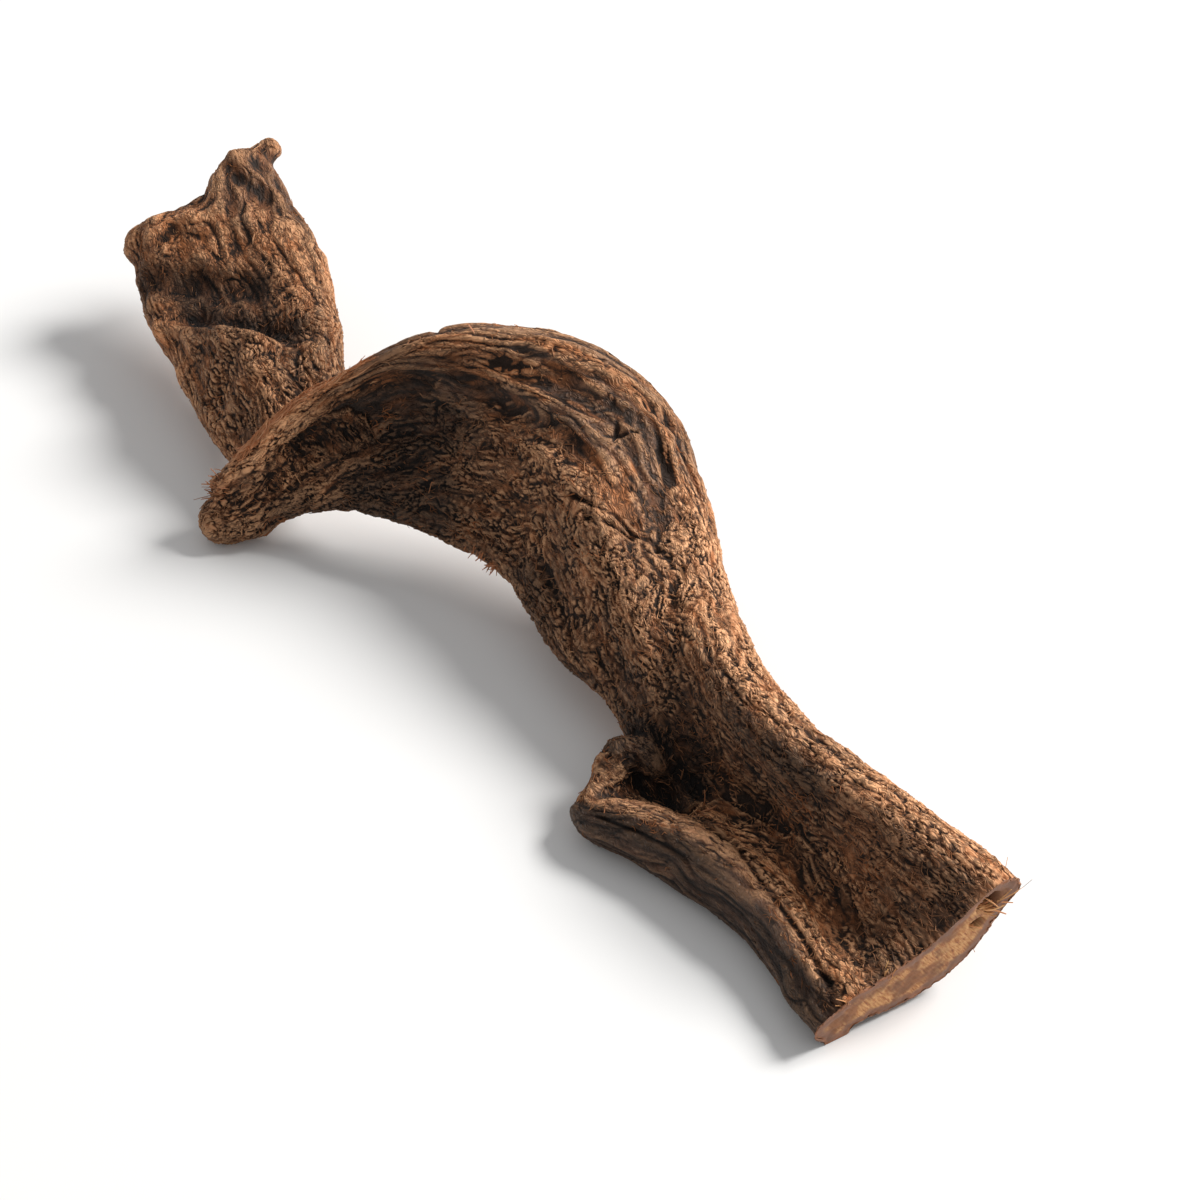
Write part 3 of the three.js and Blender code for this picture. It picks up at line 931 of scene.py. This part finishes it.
def fibre_felt_group():
    """Matted fibres: slits between flakes, fibre streaks on them, and a tone for each flake."""
    group, given, result = new_group(
        "Fibre felt",
        [
            ("Grain", "NodeSocketVector", None),
            ("Fibre length", "NodeSocketFloat", 0.42),
            ("Fibre width", "NodeSocketFloat", 0.11),
            ("Curl", "NodeSocketFloat", 0.16),
        ],
        [("Height", "NodeSocketFloat"), ("Slit", "NodeSocketFloat"), ("Tone", "NodeSocketFloat")],
    )
    grain, length, width, curl = (given.outputs[k] for k in range(4))
    swirl = noise_node(group, grain, 3.2, 1.0, 0.5, 1)
    swirl = vector_node(group, "SUBTRACT", swirl, (0.5, 0.5, 0.5))
    swirl = vector_node(group, "SCALE", swirl, scale=math_node(group, "MULTIPLY", curl, 2.0))
    bent = vector_node(group, "ADD", grain, swirl)
    size = add(group, "ShaderNodeCombineXYZ")
    feed(group, size.inputs[0], length)
    feed(group, size.inputs[1], width)
    feed(group, size.inputs[2], width)
    coarse = vector_node(group, "DIVIDE", bent, size.outputs[0])
    cells = add(group, "ShaderNodeTexVoronoi", feature="DISTANCE_TO_EDGE")
    feed(group, cells.inputs["Vector"], coarse)
    feed(group, cells.inputs["Scale"], 1.0)
    edge = cells.outputs[0]
    owner = add(group, "ShaderNodeTexVoronoi", feature="F1")
    feed(group, owner.inputs["Vector"], coarse)
    feed(group, owner.inputs["Scale"], 1.0)
    tone = add(group, "ShaderNodeSeparateColor")
    feed(group, tone.inputs[0], owner.outputs["Color"])
    threads = vector_node(group, "MULTIPLY", coarse, (0.8, 3.4, 3.4))
    streak = noise_node(group, threads, 1.0, 2.0, 0.6)
    slit = ramp(group, edge, 0.04, 0.17, 1.0, 0.0)
    broken = noise_node(group, grain, 2.6, 2.0, 0.5)
    slit = math_node(group, "MULTIPLY", slit, ramp(group, broken, 0.36, 0.56))
    dome = ramp(group, edge, 0.0, 0.45)
    height = math_node(group, "MULTIPLY_ADD", streak, 0.55, dome)
    height = math_node(group, "MULTIPLY_ADD", tone.outputs[1], 0.35, height)
    own_tone = math_node(group, "MULTIPLY", tone.outputs[0], 0.5)
    tone_out = math_node(group, "MULTIPLY_ADD", streak, 0.8, own_tone)
    for socket, value in zip(result.inputs, (height, slit, tone_out)):
        feed(group, socket, value)
    return group


def paler_top_group():
    """Paler patches on raised places, broken up so that they aren't even."""
    group, given, result = new_group(
        "Paler raised places",
        [
            ("Grain", "NodeSocketVector", None),
            ("Height", "NodeSocketFloat", 0.5),
            ("Amount", "NodeSocketFloat", 0.5),
        ],
        [("Mask", "NodeSocketFloat")],
    )
    grain, height, amount = (given.outputs[k] for k in range(3))
    patches = noise_node(group, grain, 0.55, 3.0, 0.6)
    raised = ramp(group, height, 0.55, 0.95)
    mask = math_node(group, "MULTIPLY", raised, ramp(group, patches, 0.35, 0.7))
    feed(group, result.inputs[0], math_node(group, "MULTIPLY", mask, amount))
    return group


def attribute(tree, name):
    return add(tree, "ShaderNodeAttribute", attribute_name=name)


def use_group(tree, group, *values):
    made = add(tree, "ShaderNodeGroup", node_tree=group)
    for socket, value in zip(made.inputs, values):
        feed(tree, socket, value)
    return made.outputs


def new_material(name):
    material = bpy.data.materials.new(name)
    material.use_nodes = True
    tree = material.node_tree
    tree.nodes.clear()
    surface = add(tree, "ShaderNodeBsdfPrincipled")
    output = add(tree, "ShaderNodeOutputMaterial")
    tree.links.new(surface.outputs[0], output.inputs[0])
    return material, tree, surface


def colour(value):
    return (*value, 1.0)


def bump(tree, height, strength, distance, below=None):
    made = add(tree, "ShaderNodeBump")
    feed(tree, made.inputs["Strength"], strength)
    feed(tree, made.inputs["Distance"], distance)
    feed(tree, made.inputs["Height"], height)
    if below is not None:
        feed(tree, made.inputs["Normal"], below)
    return made.outputs[0]


def bark_material(colours, felt, raised_paler):
    material, tree, surface = new_material("Weathered bark")
    grain = attribute(tree, "grain").outputs["Vector"]
    depth = attribute(tree, "depth").outputs["Fac"]
    relief = add(tree, "ShaderNodeSeparateXYZ")
    feed(tree, relief.inputs[0], attribute(tree, "relief").outputs["Vector"])
    fine, broad, chip = relief.outputs[0], relief.outputs[1], relief.outputs[2]
    paint = add(tree, "ShaderNodeSeparateXYZ")
    feed(tree, paint.inputs[0], attribute(tree, "paint").outputs["Vector"])
    orange, grey, dark = paint.outputs[0], paint.outputs[1], paint.outputs[2]
    threads = use_group(tree, felt, grain, 0.42, 0.10, 0.18)
    patches = noise_node(tree, grain, 0.45, 4.0, 0.6)
    # Painted shade and light: the tone, and with it the colour, is darker where the bark lies below its
    # near and far surroundings, in pits and folds, and paler where it stands out. The chips' tone, the
    # patches and the fibres add the bark's own uneven tone.
    tone = math_node(tree, "MULTIPLY_ADD", fine, 0.42, 0.48)
    tone = math_node(tree, "MULTIPLY_ADD", broad, 0.32, tone)
    tone = math_node(tree, "MULTIPLY_ADD", math_node(tree, "SUBTRACT", chip, 0.5), 0.28, tone)
    tone = math_node(tree, "MULTIPLY_ADD", math_node(tree, "SUBTRACT", patches, 0.5), 0.7, tone)
    tone = math_node(tree, "MULTIPLY_ADD", math_node(tree, "SUBTRACT", threads[2], 0.6), 0.35, tone)
    body = mix_colours(tree, ramp(tree, tone, 0.08, 0.58), colour(colours.dark), colour(colours.middle))
    body = mix_colours(tree, ramp(tree, tone, 0.52, 1.0), body, colour(colours.pale))
    drawn_out = vector_node(tree, "MULTIPLY", grain, (0.7, 3.0, 3.0))
    reddish = noise_node(tree, drawn_out, 1.0, 3.0, 0.6)
    reddish = math_node(tree, "MULTIPLY", ramp(tree, reddish, 0.48, 0.68), 0.55)
    rubbed_orange = math_node(tree, "MULTIPLY", ramp(tree, tone, 0.1, 0.5), orange)
    body = mix_colours(tree, reddish, body, colour(colours.orange))
    body = mix_colours(tree, math_node(tree, "MULTIPLY", rubbed_orange, 0.7), body, colour(colours.orange))
    body = mix_colours(tree, math_node(tree, "MULTIPLY", grey, 0.7), body, colour(colours.grey))
    # Paler patches on the raised places.
    paler_on_top = use_group(tree, raised_paler, grain, tone, 0.5)[0]
    body = mix_colours(tree, paler_on_top, body, colour(colours.pale))
    # The slits, pits and cracks turn to the slit colour, partly their dark inside and partly painted
    # shade.
    calm = math_node(tree, "MULTIPLY_ADD", grey, -0.6, 0.8)
    slits = math_node(tree, "MAXIMUM", depth, math_node(tree, "MULTIPLY", threads[1], calm))
    slits = math_node(tree, "MULTIPLY", slits, 0.9)
    body = mix_colours(tree, slits, body, colour(colours.dark))
    # The paint's third channel multiplies in the painted shade, and the painted light where it is below 0.
    shade = math_node(tree, "MULTIPLY_ADD", dark, -0.6, 1.0)
    body = mix_colours(tree, 1.0, body, shade, "MULTIPLY")
    feed(tree, surface.inputs["Base Color"], body)
    rough = ramp(tree, tone, 0.2, 0.9, 0.88, 0.66)
    rough = math_node(tree, "MULTIPLY_ADD", grey, -0.28, rough)
    feed(tree, surface.inputs["Roughness"], rough)
    surface.inputs["Specular IOR Level"].default_value = 0.3
    feed(tree, surface.inputs["Normal"], bump(tree, threads[0], 1.0, 0.4 * MM))
    return material


def dot_node(tree, vector, direction):
    made = add(tree, "ShaderNodeVectorMath", operation="DOT_PRODUCT")
    feed(tree, made.inputs[0], vector)
    feed(tree, made.inputs[1], direction)
    return made.outputs["Value"]


def sawn_material(colours):
    """A smooth brown border, and inside it a band of short golden fibres that stand in rows."""
    material, tree, surface = new_material("Sawn wood")
    inward = attribute(tree, "inward").outputs["Fac"]
    where = add(tree, "ShaderNodeTexCoord").outputs["Object"]
    rows = add(tree, "ShaderNodeCombineXYZ")
    for n, (way, per_metre) in enumerate((((0, 0.83, 0.56), 1700.0), ((0, -0.3, 0.95), 260.0))):
        feed(tree, rows.inputs[n], math_node(tree, "MULTIPLY", dot_node(tree, where, way), per_metre))
    fibres = noise_node(tree, rows.outputs[0], 1.0, 3.0, 0.6)
    clouds = noise_node(tree, where, 160.0, 3.0, 0.6)
    reach = math_node(tree, "MULTIPLY_ADD", math_node(tree, "SUBTRACT", clouds, 0.5), 3.0, inward)
    core = ramp(tree, reach, 1.6, 3.8)
    sawn = colour(colours.sawn)
    orange = colour(colours.orange)
    body = mix_colours(tree, ramp(tree, clouds, 0.35, 0.65, 0.0, 0.3), sawn, orange)
    bright = mix_colours(tree, ramp(tree, fibres, 0.32, 0.66), orange, colour(colours.straw))
    patchy = ramp(tree, noise_node(tree, where, 120.0, 2.0, 0.5), 0.40, 0.58, 0.1, 0.8)
    body = mix_colours(tree, math_node(tree, "MULTIPLY", core, patchy), body, bright)
    gaps = math_node(tree, "MULTIPLY", ramp(tree, fibres, 0.42, 0.30, 0.0, 0.75), core)
    body = mix_colours(tree, gaps, body, sawn)
    body = mix_colours(tree, ramp(tree, inward, 0.0, 0.8, 0.6, 0.0), body, orange)
    torn = attribute(tree, "torn").outputs["Fac"]
    body = mix_colours(tree, math_node(tree, "MULTIPLY", torn, 0.85), body, colour(colours.dark))
    feed(tree, surface.inputs["Base Color"], body)
    feed(tree, surface.inputs["Roughness"], ramp(tree, core, 0.0, 1.0, 0.55, 0.85))
    feed(tree, surface.inputs["Normal"], bump(tree, fibres, 0.5, 0.3 * MM))
    return material


def fibre_material(name, colours):
    """Fibres of the bark's colours, each toned by the bark's painted shade and light. The tone of each
    runs from dark over brown to pale.
    """
    material, tree, surface = new_material(name)
    tone = attribute(tree, "tone").outputs["Fac"]
    body = mix_colours(tree, ramp(tree, tone, 0.0, 0.45), colour(colours.dark), colour(colours.middle))
    body = mix_colours(tree, ramp(tree, tone, 0.5, 1.0), body, colour(colours.pale))
    where = add(tree, "ShaderNodeTexCoord").outputs["Object"]
    reddish = noise_node(tree, where, 60.0, 2.0, 0.5)
    body = mix_colours(tree, ramp(tree, reddish, 0.5, 0.7, 0.0, 0.6), body, colour(colours.orange))
    mottled = noise_node(tree, where, 900.0, 2.0, 0.5)
    body = mix_colours(tree, ramp(tree, mottled, 0.45, 0.75, 0.0, 0.5), body, colour(colours.dark))
    feed(tree, surface.inputs["Base Color"], body)
    feed(tree, surface.inputs["Roughness"], ramp(tree, mottled, 0.3, 0.7, 0.65, 0.85))
    surface.inputs["Specular IOR Level"].default_value = 0.3
    return material


def strand_material(name, low, high):
    """Loose strands between two colours, by the tone of each."""
    material, tree, surface = new_material(name)
    tone = attribute(tree, "tone").outputs["Fac"]
    feed(tree, surface.inputs["Base Color"], mix_colours(tree, tone, colour(low), colour(high)))
    where = add(tree, "ShaderNodeTexCoord").outputs["Object"]
    mottled = noise_node(tree, where, 700.0, 2.0, 0.5)
    feed(tree, surface.inputs["Roughness"], ramp(tree, mottled, 0.3, 0.7, 0.5, 0.75))
    return material


# Fibres
def modelled_fibre(cuts):
    """One straight fibre of unit length along Z: a three-sided rod that can bend, tapered."""
    deselect_all()
    bpy.ops.mesh.primitive_cylinder_add(vertices=3, radius=1, depth=1, location=(0, 0, 0.5))
    o = bpy.context.object
    bpy.ops.object.mode_set(mode="EDIT")
    work = bmesh.from_edit_mesh(o.data)
    for edge in work.edges:
        edge.select = abs(edge.verts[0].co.z - edge.verts[1].co.z) > 0.5
    work.select_flush(True)
    bpy.ops.mesh.subdivide(number_cuts=cuts)
    bpy.ops.mesh.select_all(action="SELECT")
    bpy.ops.mesh.quads_convert_to_tris()
    bpy.ops.mesh.normals_make_consistent(inside=False)
    bpy.ops.object.mode_set(mode="OBJECT")
    bpy.ops.object.transform_apply(location=True)
    points = np.array([v.co for v in o.data.vertices])
    points[:, 0:2] *= (1 - 0.6 * np.abs(points[:, 2:3] - 0.35))
    faces = np.array([f.vertices for f in o.data.polygons])
    spare = o.data
    bpy.data.objects.remove(o)
    bpy.data.meshes.remove(spare)
    return points, faces


def placed_fibres(name, base, paths, up, radius, tone):
    """One mesh of many fibres. Each path is a row of four places; up is each one's own normal."""
    points, faces = base
    rings = paths.shape[1]
    at = points[:, 2] * (rings - 1)
    low = np.clip(np.floor(at + 1e-6).astype(int), 0, rings - 2)
    f = (at - low)[None, :, None]
    centre = paths[:, low] * (1 - f) + paths[:, low + 1] * f
    along = paths[:, low + 1] - paths[:, low]
    along /= np.linalg.norm(along, axis=2, keepdims=True) + 1e-9
    side = np.cross(along, up[:, None, :])
    side /= np.linalg.norm(side, axis=2, keepdims=True) + 1e-9
    top = np.cross(side, along)
    r = radius[:, None, None]
    verts = centre + r * (side * points[None, :, 0:1] + top * points[None, :, 1:2])
    count, each = verts.shape[:2]
    triangles = (faces[None] + each * np.arange(count)[:, None, None]).reshape(-1, 3)
    mesh = bpy.data.meshes.new(name)
    mesh.from_pydata((verts.reshape(-1, 3) * MM).tolist(), [], triangles.tolist())
    mesh.update()
    store(mesh, "tone", np.repeat(tone, each))
    o = bpy.data.objects.new(name, mesh)
    bpy.context.scene.collection.objects.link(o)
    only(o)
    bpy.ops.object.mode_set(mode="EDIT")
    bpy.ops.mesh.select_all(action="SELECT")
    bpy.ops.mesh.normals_make_consistent(inside=False)
    bpy.ops.object.mode_set(mode="OBJECT")
    return o


class Bark:
    """The finished bark, and how to lay something on it."""

    def __init__(self, o):
        self.points = places_of(o.data)
        self.normals = normals_of(o.data)
        self.tree = KDTree(len(self.points))
        for n, p in enumerate(self.points):
            self.tree.insert(p, n)
        self.tree.balance()

    def laid(self, places, lift):
        """Places moved onto the bark, then lifted off it."""
        flat = places.reshape(-1, 3)
        k = np.array([self.tree.find(p)[1] for p in flat])
        n = self.normals[k]
        off = np.einsum("ij,ij->i", flat - self.points[k], n)
        return (flat + n * (lift.ravel() - off)[:, None]).reshape(places.shape)


def felt_paths(bark, count, length, rng):
    """Where the short fibres of the felt lie: near the grain, but each its own way."""
    clear = (bark.points[:, 2] > 1.2) & (past_cut(bark.points) < -2.0)
    root = rng.choice(np.nonzero(clear)[0], count)
    start = bark.points[root]
    up = bark.normals[root]
    which, grain, place, share, flow = grain_of(start)
    places = Places(start, grain, which, place, share)
    flow = flow - up * np.einsum("ij,ij->i", flow, up)[:, None]
    flow /= np.linalg.norm(flow, axis=1)[:, None] + 1e-9
    side = np.cross(up, flow)
    bare = 0.95 * places.rim_bark + 0.9 * places.crest + 0.85 * places.head + 0.4 * places.neck
    bare = np.maximum(bare, 0.35 * (1 - places.wall))
    keep = rng.random(count) > bare
    angle = rng.normal(0, 0.55, count) + 0.9 * noise(grain / 6, 11)
    heading = flow * np.cos(angle)[:, None] + side * np.sin(angle)[:, None]
    turned = np.cross(up, heading)
    reach = length * np.exp(rng.normal(0, 0.35, count))
    curl = rng.normal(0, 0.34, count) * reach
    steps = np.linspace(-0.5, 0.5, 4)
    paths = start[:, None] + heading[:, None] * (steps[None, :, None] * reach[:, None, None])
    bow = (steps**2 * 4)[None, :, None] * curl[:, None, None]
    paths = paths + turned[:, None] * bow
    lift = np.tile([-0.2, 0.1, 0.12, -0.15], (count, 1)) + rng.normal(0, 0.06, (count, 4))
    ends_up = rng.random(count) < 0.05
    lift[ends_up, 3] += 0.5
    laid = bark.laid(paths, lift)
    # The fibres take the bark's painted shade and light: darker where it is shaded, paler where it is lit.
    shade = paint_of(start, grain, places)[:, 2]
    tone = np.clip(0.58 - 0.38 * shade + rng.normal(0, 0.2, count), 0, 1)
    return laid[keep], up[keep], tone[keep]


def bundle(rng, root, heading, count, spread, length, bend, width):
    """Loose strands from about one root: their paths, the way that each faces, and their radii."""
    heading = np.array(heading, float) / np.linalg.norm(heading)
    aside = np.cross(heading, (0.3, 0.2, 0.9))
    aside /= np.linalg.norm(aside)
    start = np.array(root, float) + rng.normal(0, spread, (count, 3))
    way = heading + rng.normal(0, 0.28, (count, 3))
    way /= np.linalg.norm(way, axis=1)[:, None]
    turn = np.cross(way, aside) + rng.normal(0, 0.4, (count, 3))
    reach = length * np.exp(rng.normal(0, 0.3, count))
    steps = np.linspace(0, 1, 4)[None, :, None]
    paths = start[:, None] + way[:, None] * steps * reach[:, None, None]
    curve = bend * reach * rng.normal(1, 0.5, count)
    paths = paths + turn[:, None] * steps**2 * curve[:, None, None]
    return paths, turn, width / 2 * np.exp(rng.normal(0, 0.25, count))


def rooted(paths, skin):
    """The strands of a bundle, each moved as a whole so that it starts on the bark."""
    middle = paths[:, 0].mean(axis=0)
    close = skin[np.sum((skin - middle) ** 2, axis=1) < 144]
    away = np.linalg.norm(paths[:, None, 0] - close[None], axis=2)
    start = close[np.argmin(away, axis=1)]
    return paths + (start - paths[:, 0])[:, None]


# Root, heading, count, spread, length, bend and thickness of each bundle, in millimetres.
STRAW = [
    ((194.0, 9.0, 30), (0.25, 0.9, -0.1), 30, 1.1, 4.6, 0.45, 0.5),
    ((194.5, 10, 28.5), (0.2, 0.9, -0.5), 18, 0.9, 4.4, -0.5, 0.45),
    ((195.5, 13, 28), (0.05, 0.75, 0.6), 2, 0.4, 7.5, 0.45, 0.36),
    ((192.5, 7.0, 23), (0.2, 0.8, -0.2), 10, 0.8, 2.6, 0.3, 0.4),
    ((191.0, -18, 18), (0.1, 0.4, 0.9), 8, 0.8, 2.4, 0.3, 0.4),
    ((190.0, -31, 15), (0.0, -0.3, 0.9), 7, 0.8, 2.4, 0.3, 0.4),
]
BROWN_STRANDS = [
    ((-2, -6, 19), (0.1, -0.5, -0.7), 22, 1.6, 2.6, 0.5, 0.45),
    ((-8, -6, 21), (0.0, -0.7, -0.5), 12, 1.4, 2.2, 0.5, 0.4),
    ((-40, 16, 72), (-0.7, -0.5, 0.05), 4, 0.7, 3.6, 0.4, 0.35),
    ((-33, 24, 71.5), (-0.7, 0.0, 0.0), 3, 0.8, 2.4, 0.4, 0.32),
    ((112, -16, 15), (0.9, 0.3, 0.35), 2, 0.4, 7.0, -0.5, 0.36),
    ((-81, -49, 18), (-0.3, -0.6, 0.6), 26, 2.2, 2.6, 0.4, 0.42),
]


LIP_STRANDS = 260
LIP_STRAND_RADIUS = 0.2


def lip_paths(bark, count, rng):
    """Long loose strands that lie along the edge of the lip."""
    line = np.array(LIP, float)
    place = rng.uniform(0, len(line) - 1.001, count)
    low = place.astype(int)
    f = (place - low)[:, None]
    along = line[low + 1] - line[low]
    along /= np.linalg.norm(along, axis=1)[:, None]
    start = line[low] * (1 - f) + line[low + 1] * f + rng.normal(0, 1.5, (count, 3))
    way = along + rng.normal(0, 0.16, (count, 3))
    reach = 7.0 * np.exp(rng.normal(0, 0.4, count))
    steps = np.linspace(-0.5, 0.5, 4)[None, :, None]
    paths = start[:, None] + way[:, None] * steps * reach[:, None, None]
    lift = rng.uniform(-0.1, 0.25, (count, 1)) + rng.normal(0, 0.08, (count, 4))
    loose = rng.random(count) < 0.15
    lift[loose, 3] += 0.8
    return bark.laid(paths, lift), np.cross(along, rng.normal(0, 1, (count, 3)))


def give_material(o, material):
    o.data.materials.clear()
    o.data.materials.append(material)


def finish_fibres(o, material):
    """Keeps the fibres inside the solid's box and ties them to the branch."""
    put_places(o.data, kept_in_box(places_of(o.data)))
    give_material(o, material)
    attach(o, BODY)


# Operators
class DRIFTWOOD_OT_branch(bpy.types.Operator):
    """Remesh the solid finely, carve its bark and give it its materials"""

    bl_idname = "driftwood.branch"
    bl_label = "Branch"

    def execute(self, context):
        scene = context.scene
        sizes = scene.driftwood_bark
        colours = scene.driftwood_colours
        branch = copied_branch()
        remeshed(branch, FIRST_VOXEL * MM)
        even_form(branch)
        remeshed(branch, sizes.voxel)
        cover_with_bark(branch, sizes)
        felt = fibre_felt_group()
        raised_paler = paler_top_group()
        branch.data.materials.append(bark_material(colours, felt, raised_paler))
        branch.data.materials.append(sawn_material(colours))
        for name, low, high in LENGTHS:
            piece = cut_to_length(branch, name, low, high)
            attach(piece, BODY)
            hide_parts(NODE)
        spare = branch.data
        bpy.data.objects.remove(branch)
        bpy.data.meshes.remove(spare)
        return {"FINISHED"}


class DRIFTWOOD_OT_felt(bpy.types.Operator):
    """Lay thousands of short fibres on the bark"""

    bl_idname = "driftwood.felt"
    bl_label = "Felt of fibres"

    def execute(self, context):
        sizes = context.scene.driftwood_fibres
        colours = context.scene.driftwood_colours
        base = modelled_fibre(1)
        material = fibre_material("Felt fibre", colours)
        for n, (name, _, _) in enumerate(LENGTHS):
            bark = Bark(bpy.data.objects[name])
            rng = np.random.default_rng(100 + n)
            paths, up, tone = felt_paths(bark, sizes.count, sizes.length / MM, rng)
            thick = sizes.thickness / MM / 2 * np.exp(rng.normal(0, 0.3, len(paths)))
            finish_fibres(placed_fibres(f"felt_{name}", base, paths, up, thick, tone), material)
        return {"FINISHED"}


class DRIFTWOOD_OT_tufts(bpy.types.Operator):
    """Add the loose strands: straw in the sawn face, along the lip, at the foot and below"""

    bl_idname = "driftwood.tufts"
    bl_label = "Loose strands"

    def execute(self, context):
        colours = context.scene.driftwood_colours
        base = modelled_fibre(3)
        rng = np.random.default_rng(7)
        straw = strand_material("Straw strand", colours.orange, colours.straw)
        brown = strand_material("Bark strand", colours.middle, colours.orange)
        orange = strand_material("Torn strand", colours.orange, colours.pale)
        sets = (("straw_tufts", STRAW, straw), ("bark_strands", BROWN_STRANDS, brown))
        skin = np.concatenate([places_of(bpy.data.objects[name].data) for name, _, _ in LENGTHS])
        for name, bundles, material in sets:
            parts = [bundle(rng, *values) for values in bundles]
            paths = np.concatenate([rooted(part[0], skin) for part in parts])
            up, radius = (np.concatenate([part[k] for part in parts]) for k in (1, 2))
            tone = rng.random(len(paths))
            finish_fibres(placed_fibres(name, base, paths, up, radius, tone), material)
        bark = Bark(bpy.data.objects["arch"])
        paths, up = lip_paths(bark, LIP_STRANDS, rng)
        radius = LIP_STRAND_RADIUS * np.exp(rng.normal(0, 0.3, len(paths)))
        tone = rng.random(len(paths)) ** 2
        finish_fibres(placed_fibres("lip_strands", base, paths, up, radius, tone), orange)
        return {"FINISHED"}


# The stage: angles in degrees, lengths in metres.
CAMERA_AZIMUTH = 53.0
CAMERA_ELEVATION = 40.0
CAMERA_DISTANCE = 0.94
CAMERA_TARGET = Vector((0.0401, 0.0034, 0.030))
CAMERA_LENS = 100.0
FLOOR_SIZE = 8.0
FLOOR_DROP = 0.0002
FLOOR_GREY = 0.86
KEY_AZIMUTH = 70.0
KEY_ELEVATION = 42.0
KEY_DISTANCE = 3.6
KEY_SIZE = 1.5
KEY_TINT = (1.0, 0.985, 0.96)
KEY_TARGET = Vector((0.0, 0.0, 0.03))


def aim(o, place, target):
    o.location = place
    o.rotation_euler = (Vector(target) - Vector(place)).to_track_quat("-Z", "Y").to_euler()


def direction(azimuth, elevation):
    a, e = math.radians(azimuth), math.radians(elevation)
    return Vector((math.cos(a) * math.cos(e), math.sin(a) * math.cos(e), math.sin(e)))


def add_camera(scene):
    data = bpy.data.cameras.new("Camera")
    data.lens = CAMERA_LENS
    data.sensor_width = 36.0
    data.clip_start = 0.01
    camera = bpy.data.objects.new("Camera", data)
    scene.collection.objects.link(camera)
    back = direction(CAMERA_AZIMUTH - 90, CAMERA_ELEVATION)
    aim(camera, CAMERA_TARGET + back * CAMERA_DISTANCE, CAMERA_TARGET)
    scene.camera = camera


def add_floor():
    deselect_all()
    bpy.ops.mesh.primitive_plane_add(size=FLOOR_SIZE, location=(0, 0, -FLOOR_DROP))
    floor = bpy.context.object
    floor.name = "floor"
    material, _, surface = new_material("Pale floor")
    surface.inputs["Base Color"].default_value = (FLOOR_GREY, FLOOR_GREY, FLOOR_GREY, 1)
    surface.inputs["Roughness"].default_value = 0.9
    surface.inputs["Specular IOR Level"].default_value = 0.1
    give_material(floor, material)


def add_key_light(scene, power):
    data = bpy.data.lights.new("Key", "AREA")
    data.shape = "DISK"
    data.size = KEY_SIZE
    data.energy = power
    data.color = KEY_TINT
    light = bpy.data.objects.new("Key", data)
    scene.collection.objects.link(light)
    aim(light, direction(KEY_AZIMUTH, KEY_ELEVATION) * KEY_DISTANCE, KEY_TARGET)


def add_even_sky(scene, strength):
    world = bpy.data.worlds.new("Even sky")
    scene.world = world
    world.use_nodes = True
    background = world.node_tree.nodes["Background"]
    background.inputs[0].default_value = (1, 1, 1, 1)
    background.inputs[1].default_value = strength


class DRIFTWOOD_OT_stage(bpy.types.Operator):
    """Make the camera, the pale floor and the soft lights"""

    bl_idname = "driftwood.stage"
    bl_label = "Stage"

    def execute(self, context):
        scene = context.scene
        sizes = scene.driftwood_stage
        add_camera(scene)
        add_floor()
        add_key_light(scene, sizes.key_power)
        add_even_sky(scene, sizes.sky)
        scene.view_settings.view_transform = "Standard"
        return {"FINISHED"}


class DRIFTWOOD_PT_panel(bpy.types.Panel):
    """Lists the sizes and colours of the branch, and the buttons that build the branch, its fibres and the
    stage
    """

    bl_label = "Driftwood"
    bl_idname = "DRIFTWOOD_PT_panel"
    bl_space_type = "VIEW_3D"
    bl_region_type = "UI"
    bl_category = "Driftwood"

    def draw(self, context):
        for group in ("driftwood_bark", "driftwood_fibres", "driftwood_colours", "driftwood_stage"):
            box = self.layout.box()
            settings = getattr(context.scene, group)
            for name in settings.bl_rna.properties.keys():
                if name not in ("rna_type", "name"):
                    box.prop(settings, name)
        for name in ("branch", "felt", "tufts", "stage"):
            self.layout.operator(f"driftwood.{name}")


GROUPS = (
    ("driftwood_bark", BarkSizes),
    ("driftwood_fibres", FibreSizes),
    ("driftwood_colours", BranchColours),
    ("driftwood_stage", StageSizes),
)
CLASSES = (
    DRIFTWOOD_OT_branch,
    DRIFTWOOD_OT_felt,
    DRIFTWOOD_OT_tufts,
    DRIFTWOOD_OT_stage,
    DRIFTWOOD_PT_panel,
)


def register():
    for name, group in GROUPS:
        bpy.utils.register_class(group)
        setattr(bpy.types.Scene, name, bpy.props.PointerProperty(type=group))
    for one in CLASSES:
        bpy.utils.register_class(one)


def unregister():
    for one in reversed(CLASSES):
        bpy.utils.unregister_class(one)
    for name, group in reversed(GROUPS):
        delattr(bpy.types.Scene, name)
        bpy.utils.unregister_class(group)


def main():
    register()
    bpy.ops.driftwood.stage()
    bpy.ops.driftwood.branch()
    bpy.ops.driftwood.felt()
    bpy.ops.driftwood.tufts()


if __name__ == "__main__":
    main()
